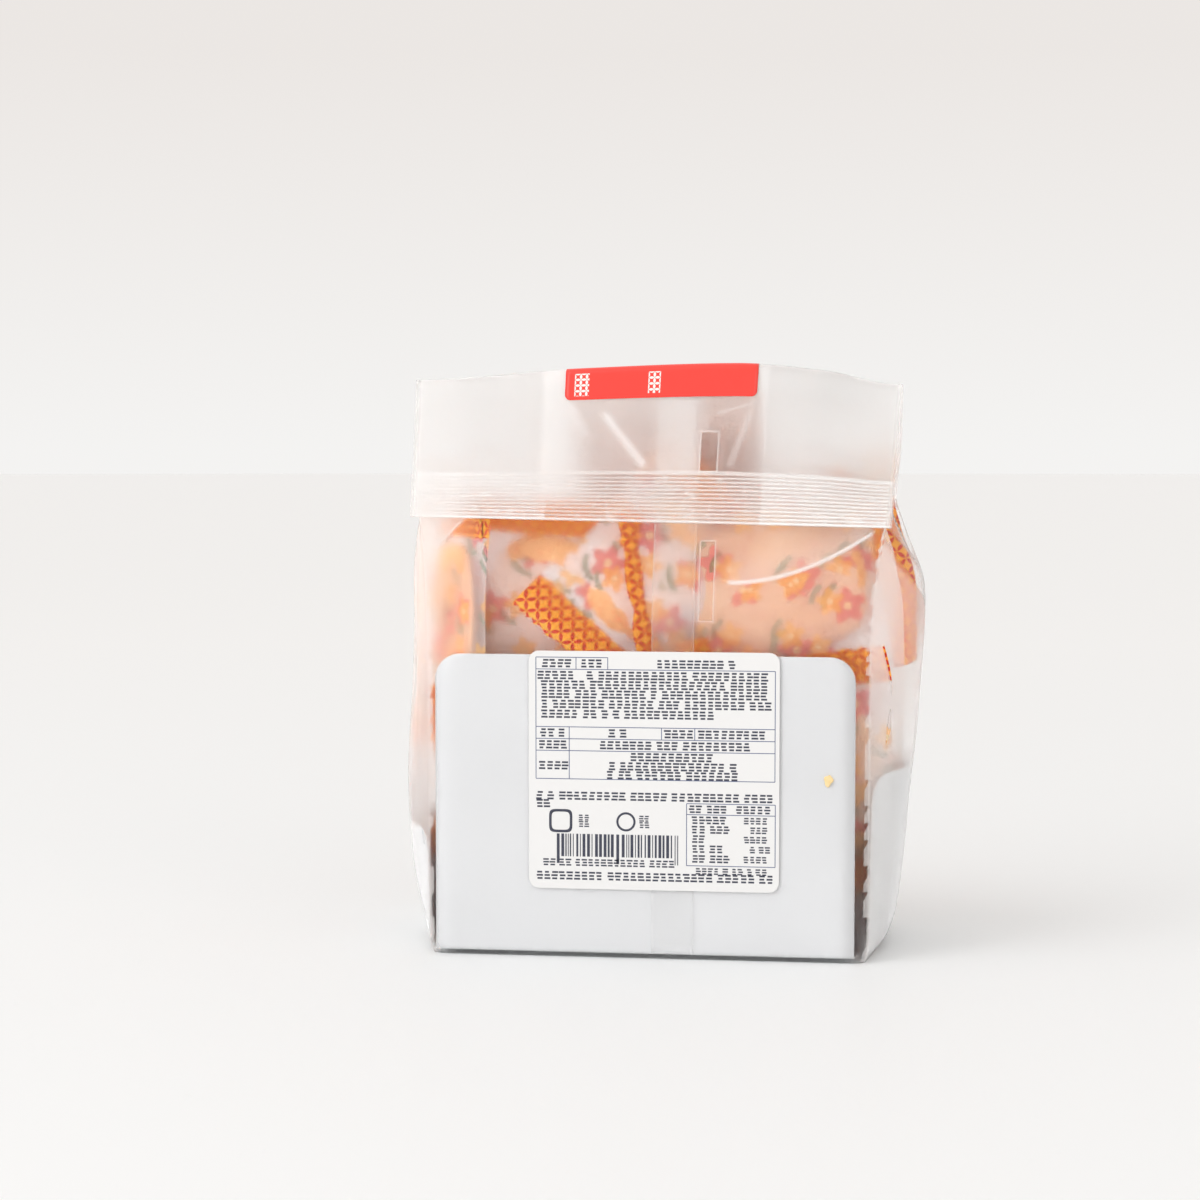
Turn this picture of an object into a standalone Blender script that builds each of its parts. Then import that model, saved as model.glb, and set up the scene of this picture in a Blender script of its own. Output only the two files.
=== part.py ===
"""A clear side-gusset bag of wrapped rice crackers. It stands on a folded card, and its top is folded over the
back, where a label holds it. The back, with the information label, faces -Y. Lengths are in metres."""

import math

import bmesh
import bpy
from mathutils import Vector

MM = 0.001
PARTS = "rice_cracker_bag"

# Gap between pieces that touch
GAP = 0.3 * MM

# Card: one strip folded into a back panel, a base and a low front lip, and wider towards the lip
CARD_HALF_WIDTH = 52.85 * MM
CARD_CENTRE_X = -2.6 * MM
LIP_HALF_WIDTH = 56.2 * MM
LIP_CENTRE_X = -2.2 * MM
CARD_THICKNESS = 0.45 * MM
CARD_BACK_Y = -29.0 * MM
CARD_FRONT_Y = 26.0 * MM
CARD_BACK_HEIGHT = 76.5 * MM
CARD_LIP_HEIGHT = 38.0 * MM
CARD_FOLD_RADIUS = 1.2 * MM
CARD_CORNER_RADIUS = 6.5 * MM

# Bag: the faces of the filled body lie just inside the card
BODY_BACK_Y = CARD_BACK_Y + CARD_THICKNESS + GAP
BODY_FRONT_Y = CARD_FRONT_Y - CARD_THICKNESS - GAP
BODY_BASE_Z = CARD_THICKNESS + GAP
CORNER_DEPTH = 3.2 * MM
TUCK_CREASE_Z = 116.0 * MM
TUCK_OPENING = 0.9
TUCK_SOFTNESS = 3.5 * MM
BODY_LEAN = -1.8 * MM

# Fold-over: the flattened top turns over this bend and hangs down the back
BEND_Y = -21.5 * MM
BEND_Z = 147.0 * MM
BEND_RADIUS = 2.0 * MM
BEND_TURN = math.radians(169)
FLAP_LENGTH = 38.1 * MM
FLAP_HALF_THICKNESS = 0.7 * MM
SEAL_HALF_THICKNESS = 0.5 * MM
SEAL_LENGTH = 12.7 * MM
SEAL_SLANT = -0.02
RIDGE_LEAN = 0.0 * MM
SEAL_LEAN = -1.3 * MM
SEAL_NARROWING = 0.02

# Information label on the back, and the closure label over the fold
BACK_LABEL_HALF_WIDTH = 31.5 * MM
BACK_LABEL_CENTRE_X = 0.0 * MM
BACK_LABEL_BOTTOM_Z = 17.6 * MM
BACK_LABEL_TOP_Z = 77.7 * MM
BACK_LABEL_RADIUS = 2.6 * MM
CLOSURE_HALF_WIDTH = 24.3 * MM
CLOSURE_CENTRE_X = 1.4 * MM
CLOSURE_BACK_LENGTH = 6.5 * MM
CLOSURE_FRONT_BOTTOM_Z = 70.0 * MM
CLOSURE_RADIUS = 1.6 * MM
LABEL_THICKNESS = 0.25 * MM

# Shape of the body by height, in millimetres: (height, value)
BACK_Y_KEYS = [
    (0.75, -27.3), (2, -28.25), (75, -28.25), (90, -28.6), (110, -28.2), (125, -26), (135, -23.8), (147, -20.2),
]
FRONT_Y_KEYS = [
    (0.75, 24.2), (2, 25.25), (39, 25.25), (60, 26.5), (88, 26.5), (100, 23), (112, 14.5), (136, -8), (147, -18.8),
]
FRONT_BOW_KEYS = [(39, 0), (60, 3), (85, 5), (105, 4), (125, 2), (140, 0.6), (147, 0)]
BACK_CREASE_KEYS = [(0.75, 54), (3, 55.3), (75, 55.6), (100, 57), (120, 60), (135, 61.3), (147, 61.3)]
FRONT_CREASE_KEYS = [(0.75, 57), (3, 59), (30, 60.5), (85, 60.5), (115, 60.6), (135, 61.3), (147, 61.3)]
RIGHT_SIDE_KEYS = [
    (0.75, 58.5), (3, 60.5), (10, 62.6), (24, 64), (39, 65.7), (64, 68.3), (87, 69.8), (107, 67), (125, 61.3),
]
LEFT_SIDE_KEYS = [
    (0.75, 58.3), (3, 60.3), (10, 62.4), (24, 65), (47, 66.2), (72, 64.9), (88, 64.4), (107, 63.4), (125, 61.3),
]
TUCK_KEYS = [(89, 80), (98, 68.5), (109, 55), (119, 43), (128, 34), (135, 31), (141, 30), (146, 60), (147, 62)]
RIDGE_RISE_KEYS = [(-60, -3.5), (-20, -0.8), (20, 0.4), (42, -1.5), (60, -5)]

# How finely the bag is divided
BODY_HEIGHTS = [
    0.75, 1.3, 2, 6, 14, 26, 38, 45, 52, 59, 66, 73, 80, 83, 86, 88.5, 91, 93.5,
    96, 98.5, 101, 103.5, 106, 108.5, 111, 115, 120, 125, 130, 135, 139, 143, 147,
]
BEND_STEPS = 6
FLAP_STEPS = 8
BACK_STEPS = 12
SIDE_STEPS = 20
FRONT_STEPS = 14
CLOSURE_STEPS = 8
CORNER_ROWS = 5


def through_keys(keys, place):
    """The value at a place on a smooth curve through the keys, which never swings past them."""
    if place <= keys[0][0]:
        return keys[0][1]
    if place >= keys[-1][0]:
        return keys[-1][1]
    rises = [(b[1] - a[1]) / (b[0] - a[0]) for a, b in zip(keys, keys[1:])]
    slopes = [0.0]
    for before, after in zip(rises, rises[1:]):
        slopes.append(2 * before * after / (before + after) if before * after > 0 else 0.0)
    slopes.append(0.0)
    i = max(n for n, key in enumerate(keys[:-1]) if key[0] <= place)
    (x0, y0), (x1, y1) = keys[i], keys[i + 1]
    span = x1 - x0
    t = (place - x0) / span
    start = (1 + 2 * t) * (1 - t) ** 2 * y0 + t * (1 - t) ** 2 * span * slopes[i]
    end = t * t * (3 - 2 * t) * y1 + t * t * (t - 1) * span * slopes[i + 1]
    return start + end


def keyed(keys, place):
    """through_keys for a table in millimetres, with the place and the value in metres."""
    return through_keys(keys, place / MM) * MM


def smooth_step(low, high, place):
    t = min(1.0, max(0.0, (place - low) / (high - low)))
    return t * t * (3 - 2 * t)


def lumps(x, z):
    """How far the packets inside push a face of the bag out at a place: none at the card or the fold."""
    window = smooth_step(0.042, 0.060, z) * (1 - smooth_step(0.118, 0.138, z)) * (1 - (x / 0.0605) ** 2)
    return 1.1 * MM * window * math.sin(x / 0.011 + 0.6) * math.sin(z / 0.012 + 1.1)


class Section:
    """One closed cross-section of the bag: flat in the body, and turned about X in the fold and the flap."""

    def __init__(self, y, z, turn, back, front, hanging=0.0):
        self.y, self.z, self.turn = y, z, turn
        self.back, self.front = back, front
        self.hanging = hanging
        height = z if turn == 0 else BEND_Z
        self.height = height
        self.back_crease = keyed(BACK_CREASE_KEYS, height)
        self.front_crease = keyed(FRONT_CREASE_KEYS, height)
        self.right_side = keyed(RIGHT_SIDE_KEYS, height)
        self.left_side = keyed(LEFT_SIDE_KEYS, height)
        self.tuck = keyed(TUCK_KEYS, height)
        self.front_bow = keyed(FRONT_BOW_KEYS, height)
        self.corner = min(CORNER_DEPTH, 0.3 * (front + back))

    def placed(self, x, across):
        """The point at x, and at a distance across the section, positive towards the bag's front panel."""
        y = self.y + across * math.cos(self.turn)
        z = self.z + across * math.sin(self.turn)
        rise = through_keys(RIDGE_RISE_KEYS, x / MM) * MM * smooth_step(0.104, BEND_Z, self.height)
        z += rise * (1 - self.hanging) + SEAL_SLANT * x * self.hanging
        lean = BODY_LEAN + (RIDGE_LEAN - BODY_LEAN) * smooth_step(0.08, BEND_Z, self.height)
        lean += (SEAL_LEAN - RIDGE_LEAN) * self.hanging
        return Vector((x * (1 - SEAL_NARROWING * self.hanging) + lean, y, z))

    def front_across(self, x):
        share = 1 - (x / self.front_crease) ** 2
        return self.front + self.front_bow * share + (lumps(x, self.z) if self.turn == 0 else 0.0)

    def back_across(self, x):
        bulge = lumps(-x, self.z) * smooth_step(0.078, 0.086, self.z) if self.turn == 0 else 0.0
        return -self.back - max(0.0, 0.5 * bulge)

    def side_x(self, t, side):
        """Half width at a share t of the way from the back crease to the front: bulged, or tucked in above."""
        straight = self.back_crease + (self.front_crease - self.back_crease) * t
        middle = (self.back_crease + self.front_crease) / 2
        bulged = straight + max(0.0, side - middle) * math.sin(math.pi * t)
        inward = 1 - abs(2 * t - 1)
        opening = TUCK_OPENING * max(0.0, TUCK_CREASE_Z - self.height) * (1 - inward)
        tucked = straight + inward * (self.tuck - straight) + opening
        softness = TUCK_SOFTNESS * inward
        return (bulged + tucked) / 2 - math.hypot((bulged - tucked) / 2, softness)

    def ring(self):
        """The section's points, counter-clockwise from above, from the back panel's left edge."""
        flat_half = self.back_crease - self.corner
        deep = self.corner - self.back
        points = []
        for i in range(BACK_STEPS + 1):
            x = flat_half * (2 * i / BACK_STEPS - 1)
            points.append((x, self.back_across(x)))
        eighth = math.sin(math.pi / 4)
        rounding = (flat_half + self.corner * eighth, -self.back + self.corner * (1 - eighth))
        points.append(rounding)
        shares = [i / SIDE_STEPS for i in range(SIDE_STEPS + 1)]
        points += [(self.side_x(t, self.right_side), deep + (self.front - deep) * t) for t in shares]
        for i in range(1, FRONT_STEPS):
            x = self.front_crease * (1 - 2 * i / FRONT_STEPS)
            points.append((x, self.front_across(x)))
        points += [(-self.side_x(t, self.left_side), deep + (self.front - deep) * t) for t in reversed(shares)]
        points.append((-rounding[0], rounding[1]))
        return [self.placed(x, across) for x, across in points]


def body_section(height):
    back = keyed(BACK_Y_KEYS, height)
    front = keyed(FRONT_Y_KEYS, height)
    middle = (back + front) / 2
    return Section(middle, height, 0.0, middle - back, front - middle)


def bend_section(turn):
    y = BEND_Y + BEND_RADIUS * math.cos(turn)
    z = BEND_Z + BEND_RADIUS * math.sin(turn)
    return Section(y, z, turn, FLAP_HALF_THICKNESS, FLAP_HALF_THICKNESS)


def flap_section(length):
    """The section at a length below the fold on the flap. The crimped end seal is thinner than the rest."""
    start = bend_section(BEND_TURN)
    y = start.y - length * math.sin(BEND_TURN)
    z = start.z + length * math.cos(BEND_TURN)
    seal_start = FLAP_LENGTH - SEAL_LENGTH
    pressed = smooth_step(seal_start - MM, seal_start + MM, length)
    half = FLAP_HALF_THICKNESS + (SEAL_HALF_THICKNESS - FLAP_HALF_THICKNESS) * pressed
    return Section(y, z, BEND_TURN, half, half, length / FLAP_LENGTH)


def bag_sections():
    sections = [body_section(height * MM) for height in BODY_HEIGHTS]
    sections += [bend_section(BEND_TURN * i / BEND_STEPS) for i in range(1, BEND_STEPS + 1)]
    sections += [flap_section(FLAP_LENGTH * i / FLAP_STEPS) for i in range(1, FLAP_STEPS + 1)]
    return sections


def material(name, colour, roughness):
    made = bpy.data.materials.new(name)
    made.use_nodes = True
    shader = made.node_tree.nodes["Principled BSDF"]
    shader.inputs["Base Color"].default_value = (*colour, 1.0)
    shader.inputs["Roughness"].default_value = roughness
    shader.inputs["Metallic"].default_value = 0.0
    return made


def object_from(name, bm, finish, collection):
    mesh = bpy.data.meshes.new(name)
    bm.normal_update()
    bm.to_mesh(mesh)
    bm.free()
    mesh.materials.append(finish)
    made = bpy.data.objects.new(name, mesh)
    collection.objects.link(made)
    return made


def film_bag(collection):
    """The filled bag with its folded top, one loft through unlike sections from the base to the flap's seal."""
    bm = bmesh.new()
    rings = [[bm.verts.new(point) for point in section.ring()] for section in bag_sections()]
    for lower, upper in zip(rings, rings[1:]):
        for i in range(len(lower)):
            j = (i + 1) % len(lower)
            bm.faces.new((lower[i], lower[j], upper[j], upper[i]))
    bm.faces.new(list(reversed(rings[0])))
    bm.faces.new(rings[-1])
    made = object_from("film_bag", bm, material("film", (0.93, 0.66, 0.50), 0.35), collection)
    made.data.shade_smooth()
    made.data.set_sharp_from_angle(angle=math.radians(35))
    return made


def rounded_half(half, radius, from_end):
    """Half width of a strip with round corners, at a distance from its end."""
    if from_end >= radius:
        return half
    return half - radius + math.sqrt(max(0.0, radius * radius - (radius - from_end) ** 2))


def corner_distances(radius):
    """Distances from a strip's end at which its round corners are divided."""
    return [radius * (1 - math.cos(math.pi / 2 * i / CORNER_ROWS)) for i in range(CORNER_ROWS + 1)]


def sheet(name, rows, thickness, lift, finish, collection):
    """A thin solid sheet from rows of points on the face that it lies on, lifted off along the normals."""
    bm = bmesh.new()
    grid = [[bm.verts.new(point) for point in row] for row in rows]
    for lower, upper in zip(grid, grid[1:]):
        for i in range(len(lower) - 1):
            bm.faces.new((lower[i], lower[i + 1], upper[i + 1], upper[i]))
    bm.normal_update()
    for vertex in bm.verts:
        vertex.co += vertex.normal * lift
    made = object_from(name, bm, finish, collection)
    solid = made.modifiers.new("thickness", "SOLIDIFY")
    solid.thickness = thickness
    solid.offset = 1.0
    solid.use_even_offset = True
    return made


def card_path():
    """The card's inner face from the back panel's top, down, along the base and up the lip: (y, z)."""
    inner_radius = CARD_FOLD_RADIUS - CARD_THICKNESS
    back = CARD_BACK_Y + CARD_THICKNESS
    front = CARD_FRONT_Y - CARD_THICKNESS
    floor = CARD_THICKNESS
    points = [(back, CARD_BACK_HEIGHT - d) for d in corner_distances(CARD_CORNER_RADIUS)]
    turns = [math.pi / 2 * i / 4 for i in range(5)]
    along = [inner_radius * (1 - math.cos(turn)) for turn in turns]
    down = [inner_radius * (1 - math.sin(turn)) for turn in turns]
    points += [(back + y, floor + z) for y, z in zip(along, down)]
    points += [(front - y, floor + z) for y, z in zip(down, along)]
    points += [(front, CARD_LIP_HEIGHT - d) for d in reversed(corner_distances(CARD_CORNER_RADIUS))]
    return points


def base_card(collection):
    """The folded card, wider towards the lip. Its ends have round corners, so a row also narrows near an end."""
    path = card_path()
    lengths = [0.0]
    for (y0, z0), (y1, z1) in zip(path, path[1:]):
        lengths.append(lengths[-1] + math.hypot(y1 - y0, z1 - z0))
    rows = []
    for (y, z), length in zip(path, lengths):
        forward = (y - path[0][0]) / (path[-1][0] - path[0][0])
        widest = CARD_HALF_WIDTH + (LIP_HALF_WIDTH - CARD_HALF_WIDTH) * forward
        centre = CARD_CENTRE_X + (LIP_CENTRE_X - CARD_CENTRE_X) * forward
        half = rounded_half(widest, CARD_CORNER_RADIUS, min(length, lengths[-1] - length))
        rows.append([Vector((centre - half, y, z)), Vector((centre + half, y, z))])
    finish = material("card", (0.86, 0.86, 0.85), 0.55)
    return sheet("base_card", rows, -CARD_THICKNESS, 0.0, finish, collection)


def back_label(collection):
    """The information label, flat on the back over the card's upper part."""
    heights = [BACK_LABEL_TOP_Z - d for d in corner_distances(BACK_LABEL_RADIUS)]
    heights += [BACK_LABEL_BOTTOM_Z + d for d in reversed(corner_distances(BACK_LABEL_RADIUS))]
    rows = []
    for z in heights:
        from_end = min(BACK_LABEL_TOP_Z - z, z - BACK_LABEL_BOTTOM_Z)
        half = rounded_half(BACK_LABEL_HALF_WIDTH, BACK_LABEL_RADIUS, from_end)
        left, right = BACK_LABEL_CENTRE_X - half, BACK_LABEL_CENTRE_X + half
        rows.append([Vector((right, CARD_BACK_Y, z)), Vector((left, CARD_BACK_Y, z))])
    finish = material("white_label", (0.9, 0.9, 0.89), 0.45)
    return sheet("back_label", rows, LABEL_THICKNESS, GAP, finish, collection)


def closure_sections():
    """(section, length) from the closure label's end on the flap, over the fold and down the front panel."""
    fold = [bend_section(BEND_TURN * i / BEND_STEPS) for i in range(BEND_STEPS, 0, -1)]
    flap = [flap_section(CLOSURE_BACK_LENGTH - d) for d in corner_distances(CLOSURE_RADIUS)]
    flap.append(flap_section(CLOSURE_BACK_LENGTH / 2))
    lowest = CLOSURE_FRONT_BOTTOM_Z + 2 * CLOSURE_RADIUS
    heights = [height * MM for height in BODY_HEIGHTS if height * MM > lowest]
    front = [body_section(height) for height in reversed(heights)]
    front += [body_section(CLOSURE_FRONT_BOTTOM_Z + d) for d in reversed(corner_distances(CLOSURE_RADIUS))]
    sections = flap + fold + front
    middles = [section.placed(CLOSURE_CENTRE_X, section.front_across(CLOSURE_CENTRE_X)) for section in sections]
    lengths = [0.0]
    for before, after in zip(middles, middles[1:]):
        lengths.append(lengths[-1] + (after - before).length)
    return list(zip(sections, lengths))


def closure_label(collection):
    """The label that holds the fold: short on the back, over the ridge and down the front panel."""
    measured = closure_sections()
    whole = measured[-1][1]
    rows = []
    for section, length in measured:
        half = rounded_half(CLOSURE_HALF_WIDTH, CLOSURE_RADIUS, min(length, whole - length))
        row = []
        for i in range(CLOSURE_STEPS + 1):
            x = CLOSURE_CENTRE_X + half * (2 * i / CLOSURE_STEPS - 1)
            row.append(section.placed(x, section.front_across(x)))
        rows.append(row)
    finish = material("red_label", (0.80, 0.06, 0.04), 0.35)
    return sheet("closure_label", rows, LABEL_THICKNESS, GAP, finish, collection)


def clear_scene():
    for old in list(bpy.data.objects):
        bpy.data.objects.remove(old)


def main():
    clear_scene()
    collection = bpy.data.collections.new(PARTS)
    bpy.context.scene.collection.children.link(collection)
    film_bag(collection)
    base_card(collection)
    back_label(collection)
    closure_label(collection)


main()
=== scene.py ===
import math

import bmesh
import bpy
import numpy as np
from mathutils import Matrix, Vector


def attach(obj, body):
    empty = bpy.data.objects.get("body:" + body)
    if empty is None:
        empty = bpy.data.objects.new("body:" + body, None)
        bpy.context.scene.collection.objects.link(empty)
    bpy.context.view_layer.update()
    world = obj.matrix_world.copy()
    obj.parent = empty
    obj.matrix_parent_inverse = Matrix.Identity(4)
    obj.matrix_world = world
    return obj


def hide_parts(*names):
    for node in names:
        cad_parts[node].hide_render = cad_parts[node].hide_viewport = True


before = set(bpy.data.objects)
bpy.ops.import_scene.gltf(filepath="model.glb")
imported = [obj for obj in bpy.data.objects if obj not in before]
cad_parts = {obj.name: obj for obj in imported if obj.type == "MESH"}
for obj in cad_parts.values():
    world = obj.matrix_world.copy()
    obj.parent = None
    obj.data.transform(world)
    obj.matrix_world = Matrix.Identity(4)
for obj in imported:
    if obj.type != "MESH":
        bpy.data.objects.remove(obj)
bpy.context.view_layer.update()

mm = 0.001  # shapes are worked out in millimetres and turned into metres as they become meshes


# numbers along a line

def smoothStep(low, high, place):
    # 0 below low, 1 above high, and 3t^2 - 2t^3 between them
    t = np.clip((place - low) / (high - low), 0, 1)
    return t * t * (3 - 2 * t)


def throughKeys(keys, place):
    # a cubic through (place, value) keys, whose slope at a key is the harmonic mean of the slopes beside it
    at, value = np.array(keys, float).T
    width = np.diff(at)
    rise = np.diff(value) / width
    slope = np.zeros(len(at))
    product = rise[1:] * rise[:-1]
    total = np.where(product > 0, rise[1:] + rise[:-1], 1.0)
    slope[1:-1] = np.where(product > 0, 2 * product / total, 0)
    place = np.clip(place, at[0], at[-1])
    i = np.clip(np.searchsorted(at, place, side="right") - 1, 0, len(width) - 1)
    t = (place - at[i]) / width[i]
    start = (1 + 2 * t) * (1 - t) ** 2 * value[i] + t * (1 - t) ** 2 * width[i] * slope[i]
    end = t * t * (3 - 2 * t) * value[i + 1] + t * t * (t - 1) * width[i] * slope[i + 1]
    return start + end


def ripples(seed, count, shortest, longest):
    # a smooth field between about -1 and 1: sines of random direction, wavelength and phase, added and averaged
    draw = np.random.default_rng(seed)
    direction = draw.normal(size=(count, 3))
    direction /= np.linalg.norm(direction, axis=1)[:, None]
    wavelength = np.exp(draw.uniform(np.log(shortest), np.log(longest), count))
    phase = draw.uniform(0, 2 * np.pi, count)
    weight = wavelength / wavelength.sum()

    def field(points):
        turns = points @ (direction / wavelength[:, None]).T * 2 * np.pi + phase
        return 1.7 * (np.sin(turns) * weight).sum(axis=-1)
    return field


# meshes from grids

objectCollection = bpy.data.collections.new("cracker bag")
bpy.context.scene.collection.children.link(objectCollection)


def pieceFromGrids(name, grids, material, node=None, closed=False, merge=0.004, attributes=(), sharp=180):
    # each grid is (rows x columns x 3 points in mm, rows x columns x 2 uv): its cells become quads, and grids that
    # share an edge are joined there; closed says that the joined surface has no rim, and sharp is the angle in
    # degrees above which an edge is a fold
    vertices, faces, uvs, base = [], [], [], 0
    for points, uv in grids:
        rows, columns = points.shape[:2]
        index = base + np.arange(rows * columns).reshape(rows, columns)
        quads = np.stack([index[:-1, :-1], index[:-1, 1:], index[1:, 1:], index[1:, :-1]], axis=-1).reshape(-1, 4)
        faces.append(quads)
        uvs.append(uv.reshape(-1, 2))
        vertices.append(points.reshape(-1, 3))
        base += rows * columns
    vertices, faces, uvs = np.concatenate(vertices) * mm, np.concatenate(faces), np.concatenate(uvs)
    mesh = bpy.data.meshes.new(name)
    mesh.from_pydata(vertices.tolist(), [], faces.tolist())
    layer = mesh.uv_layers.new(name="UVMap")
    layer.data.foreach_set("uv", uvs[faces.ravel()].ravel())
    for attributeName, values in attributes:
        mesh.attributes.new(attributeName, "FLOAT", "POINT").data.foreach_set("value", np.concatenate(
            [value.ravel() for value in values]))
    joined = bmesh.new()
    joined.from_mesh(mesh)
    bmesh.ops.remove_doubles(joined, verts=joined.verts, dist=merge * mm)
    bmesh.ops.dissolve_degenerate(joined, edges=joined.edges, dist=merge * mm * 0.5)
    if closed:
        bmesh.ops.recalc_face_normals(joined, faces=joined.faces)
    joined.to_mesh(mesh)
    joined.free()
    mesh.shade_smooth()
    if sharp < 180:
        mesh.set_sharp_from_angle(angle=math.radians(sharp))
    piece = bpy.data.objects.new(name, mesh)
    objectCollection.objects.link(piece)
    mesh.materials.append(material)
    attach(piece, "root")
    if node:
        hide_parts(node)
    return piece


def thicken(piece, thickness, offset=-1.0, rim=True):
    solid = piece.modifiers.new("thickness", "SOLIDIFY")
    solid.thickness = thickness * mm
    solid.offset = offset
    solid.use_rim = rim
    solid.use_even_offset = False
    return solid


def boxes(name, corners, material):
    # closed boxes from an array of (low x, y, z, high x, y, z) in mm: eight corners and six faces each
    corners = np.asarray(corners, float)
    pick = np.array([[0, 1, 2], [3, 1, 2], [3, 4, 2], [0, 4, 2], [0, 1, 5], [3, 1, 5], [3, 4, 5], [0, 4, 5]])
    vertices = np.stack([corners[:, p] for p in pick], axis=1).reshape(-1, 3) * mm
    sides = np.array([[0, 3, 2, 1], [4, 5, 6, 7], [0, 1, 5, 4], [1, 2, 6, 5], [2, 3, 7, 6], [3, 0, 4, 7]])
    faces = (sides[None] + 8 * np.arange(len(corners))[:, None, None]).reshape(-1, 4)
    mesh = bpy.data.meshes.new(name)
    mesh.from_pydata(vertices.tolist(), [], faces.tolist())
    mesh.materials.append(material)
    piece = bpy.data.objects.new(name, mesh)
    objectCollection.objects.link(piece)
    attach(piece, "root")
    return piece


# shader expressions

class Link:
    # wraps one shader socket, so that an expression on links and numbers adds its Math nodes
    def __init__(self, paint, socket):
        self.paint, self.socket = paint, socket

    def math(self, operation, *others, clamp=False):
        return self.paint.node("ShaderNodeMath", {"operation": operation, "use_clamp": clamp}, [self, *others])

    def __add__(self, other): return self.math("ADD", other)
    def __mul__(self, other): return self.math("MULTIPLY", other)
    def __sub__(self, other): return self.math("SUBTRACT", other)
    def __truediv__(self, other): return self.math("DIVIDE", other)
    def __rsub__(self, other): return self.paint.node("ShaderNodeMath", {"operation": "SUBTRACT"}, [other, self])
    def __lt__(self, other): return self.math("LESS_THAN", other)
    def __gt__(self, other): return self.math("GREATER_THAN", other)
    def __pow__(self, other): return self.math("POWER", other)
    def __abs__(self): return self.math("ABSOLUTE")
    __radd__ = __add__
    __rmul__ = __mul__

    def least(self, other): return self.math("MINIMUM", other)
    def most(self, other): return self.math("MAXIMUM", other)
    def clamped(self): return self.math("ADD", 0.0, clamp=True)
    def fraction(self): return self.math("FRACT")

    def band(self, low, high, soft):
        # 1 between low and high, falling to 0 over soft outside them
        return ((self - (low - soft)) / soft).clamped() * (((high + soft) - self) / soft).clamped()

    def line(self, centre, width):
        # 1 at centre, falling to 0 at width from it
        return (1 - abs(self - centre) / width).clamped()


class Paint:
    # a new material, and one method that adds any node: its type, its settings, then the values or links it takes
    def __init__(self, name):
        self.material = bpy.data.materials.new(name)
        self.material.use_nodes = True
        self.tree = self.material.node_tree
        self.tree.nodes.clear()

    def node(self, kind, settings=None, values=None, output=0):
        made = self.tree.nodes.new(kind)
        for setting, value in (settings or {}).items():
            if setting == "stops":
                while len(made.color_ramp.elements) < len(value):
                    made.color_ramp.elements.new(0.5)
                for element, (place, colour) in zip(made.color_ramp.elements, value):
                    element.position, element.color = place, (*colour, 1)
            else:
                setattr(made, setting, value)
        pairs = values.items() if isinstance(values, dict) else enumerate(values or [])
        for key, value in pairs:
            if isinstance(value, Link):
                self.tree.links.new(value.socket, made.inputs[key])
            elif value is not None:
                made.inputs[key].default_value = value
        return Link(self, made.outputs[output]) if len(made.outputs) else None

    def mix(self, factor, first, second, blend="MIX"):
        def colour(value): return value if isinstance(value, Link) else (*value, 1)
        return self.node("ShaderNodeMix", {"data_type": "RGBA", "blend_type": blend},
                         {0: factor, 6: colour(first), 7: colour(second)}, output=2)

    def blend(self, factor, first, second):
        return self.node("ShaderNodeMixShader", None, [factor, first, second])

    def noise(self, scale, detail=2.0, where=None, roughness=0.5, stretch=(1, 1, 1)):
        where = where or self.place()
        if stretch != (1, 1, 1):
            where = self.node("ShaderNodeMapping", None, {"Vector": where, "Scale": stretch})
        return self.node("ShaderNodeTexNoise", None,
                         {"Vector": where, "Scale": scale, "Detail": detail, "Roughness": roughness})

    def place(self):
        return self.node("ShaderNodeTexCoord", output="Object")

    def uv(self):
        along = self.node("ShaderNodeUVMap", {"uv_map": "UVMap"})
        split = self.node("ShaderNodeSeparateXYZ", None, [along])
        return split, Link(self, split.socket.node.outputs[1])

    def attribute(self, name):
        return self.node("ShaderNodeAttribute", {"attribute_name": name}, output="Fac")

    def bump(self, height, distance, strength=1.0):
        return self.node("ShaderNodeBump", None,
                         {"Height": height, "Distance": distance, "Strength": strength}, output="Normal")

    def principled(self, **values):
        names = {key: key.replace("_", " ") for key in values}
        return self.node("ShaderNodeBsdfPrincipled", {"distribution": "MULTI_GGX"}, {
            names[key]: (*value, 1) if isinstance(value, tuple) and len(value) == 3 else value
            for key, value in values.items()}, output="BSDF")

    def finish(self, surface):
        self.node("ShaderNodeOutputMaterial", None, {"Surface": surface})
        return self.material


# camera, floor and light

view = {
    "distance": 600.0,
    "looks at": (-13.5, -29.0, 90.5),
    "turned right": 7.0,
    "looks down": 3.6,
    "lens": 72.0,
}


def setCamera():
    # the camera stands at its distance from the point it looks at, turned and raised by its two angles
    turned, down = math.radians(view["turned right"]), math.radians(view["looks down"])
    back = Vector((math.sin(turned) * math.cos(down), -math.cos(turned) * math.cos(down), math.sin(down)))
    data = bpy.data.cameras.new("camera")
    data.lens, data.sensor_width, data.sensor_fit = view["lens"], 36.0, "HORIZONTAL"
    data.clip_start, data.clip_end = 0.01, 50.0
    camera = bpy.data.objects.new("camera", data)
    camera.location = (Vector(view["looks at"]) + view["distance"] * back) * mm
    camera.rotation_euler = (-back).to_track_quat("-Z", "Y").to_euler()
    bpy.context.scene.collection.objects.link(camera)
    bpy.context.scene.camera = camera


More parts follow.
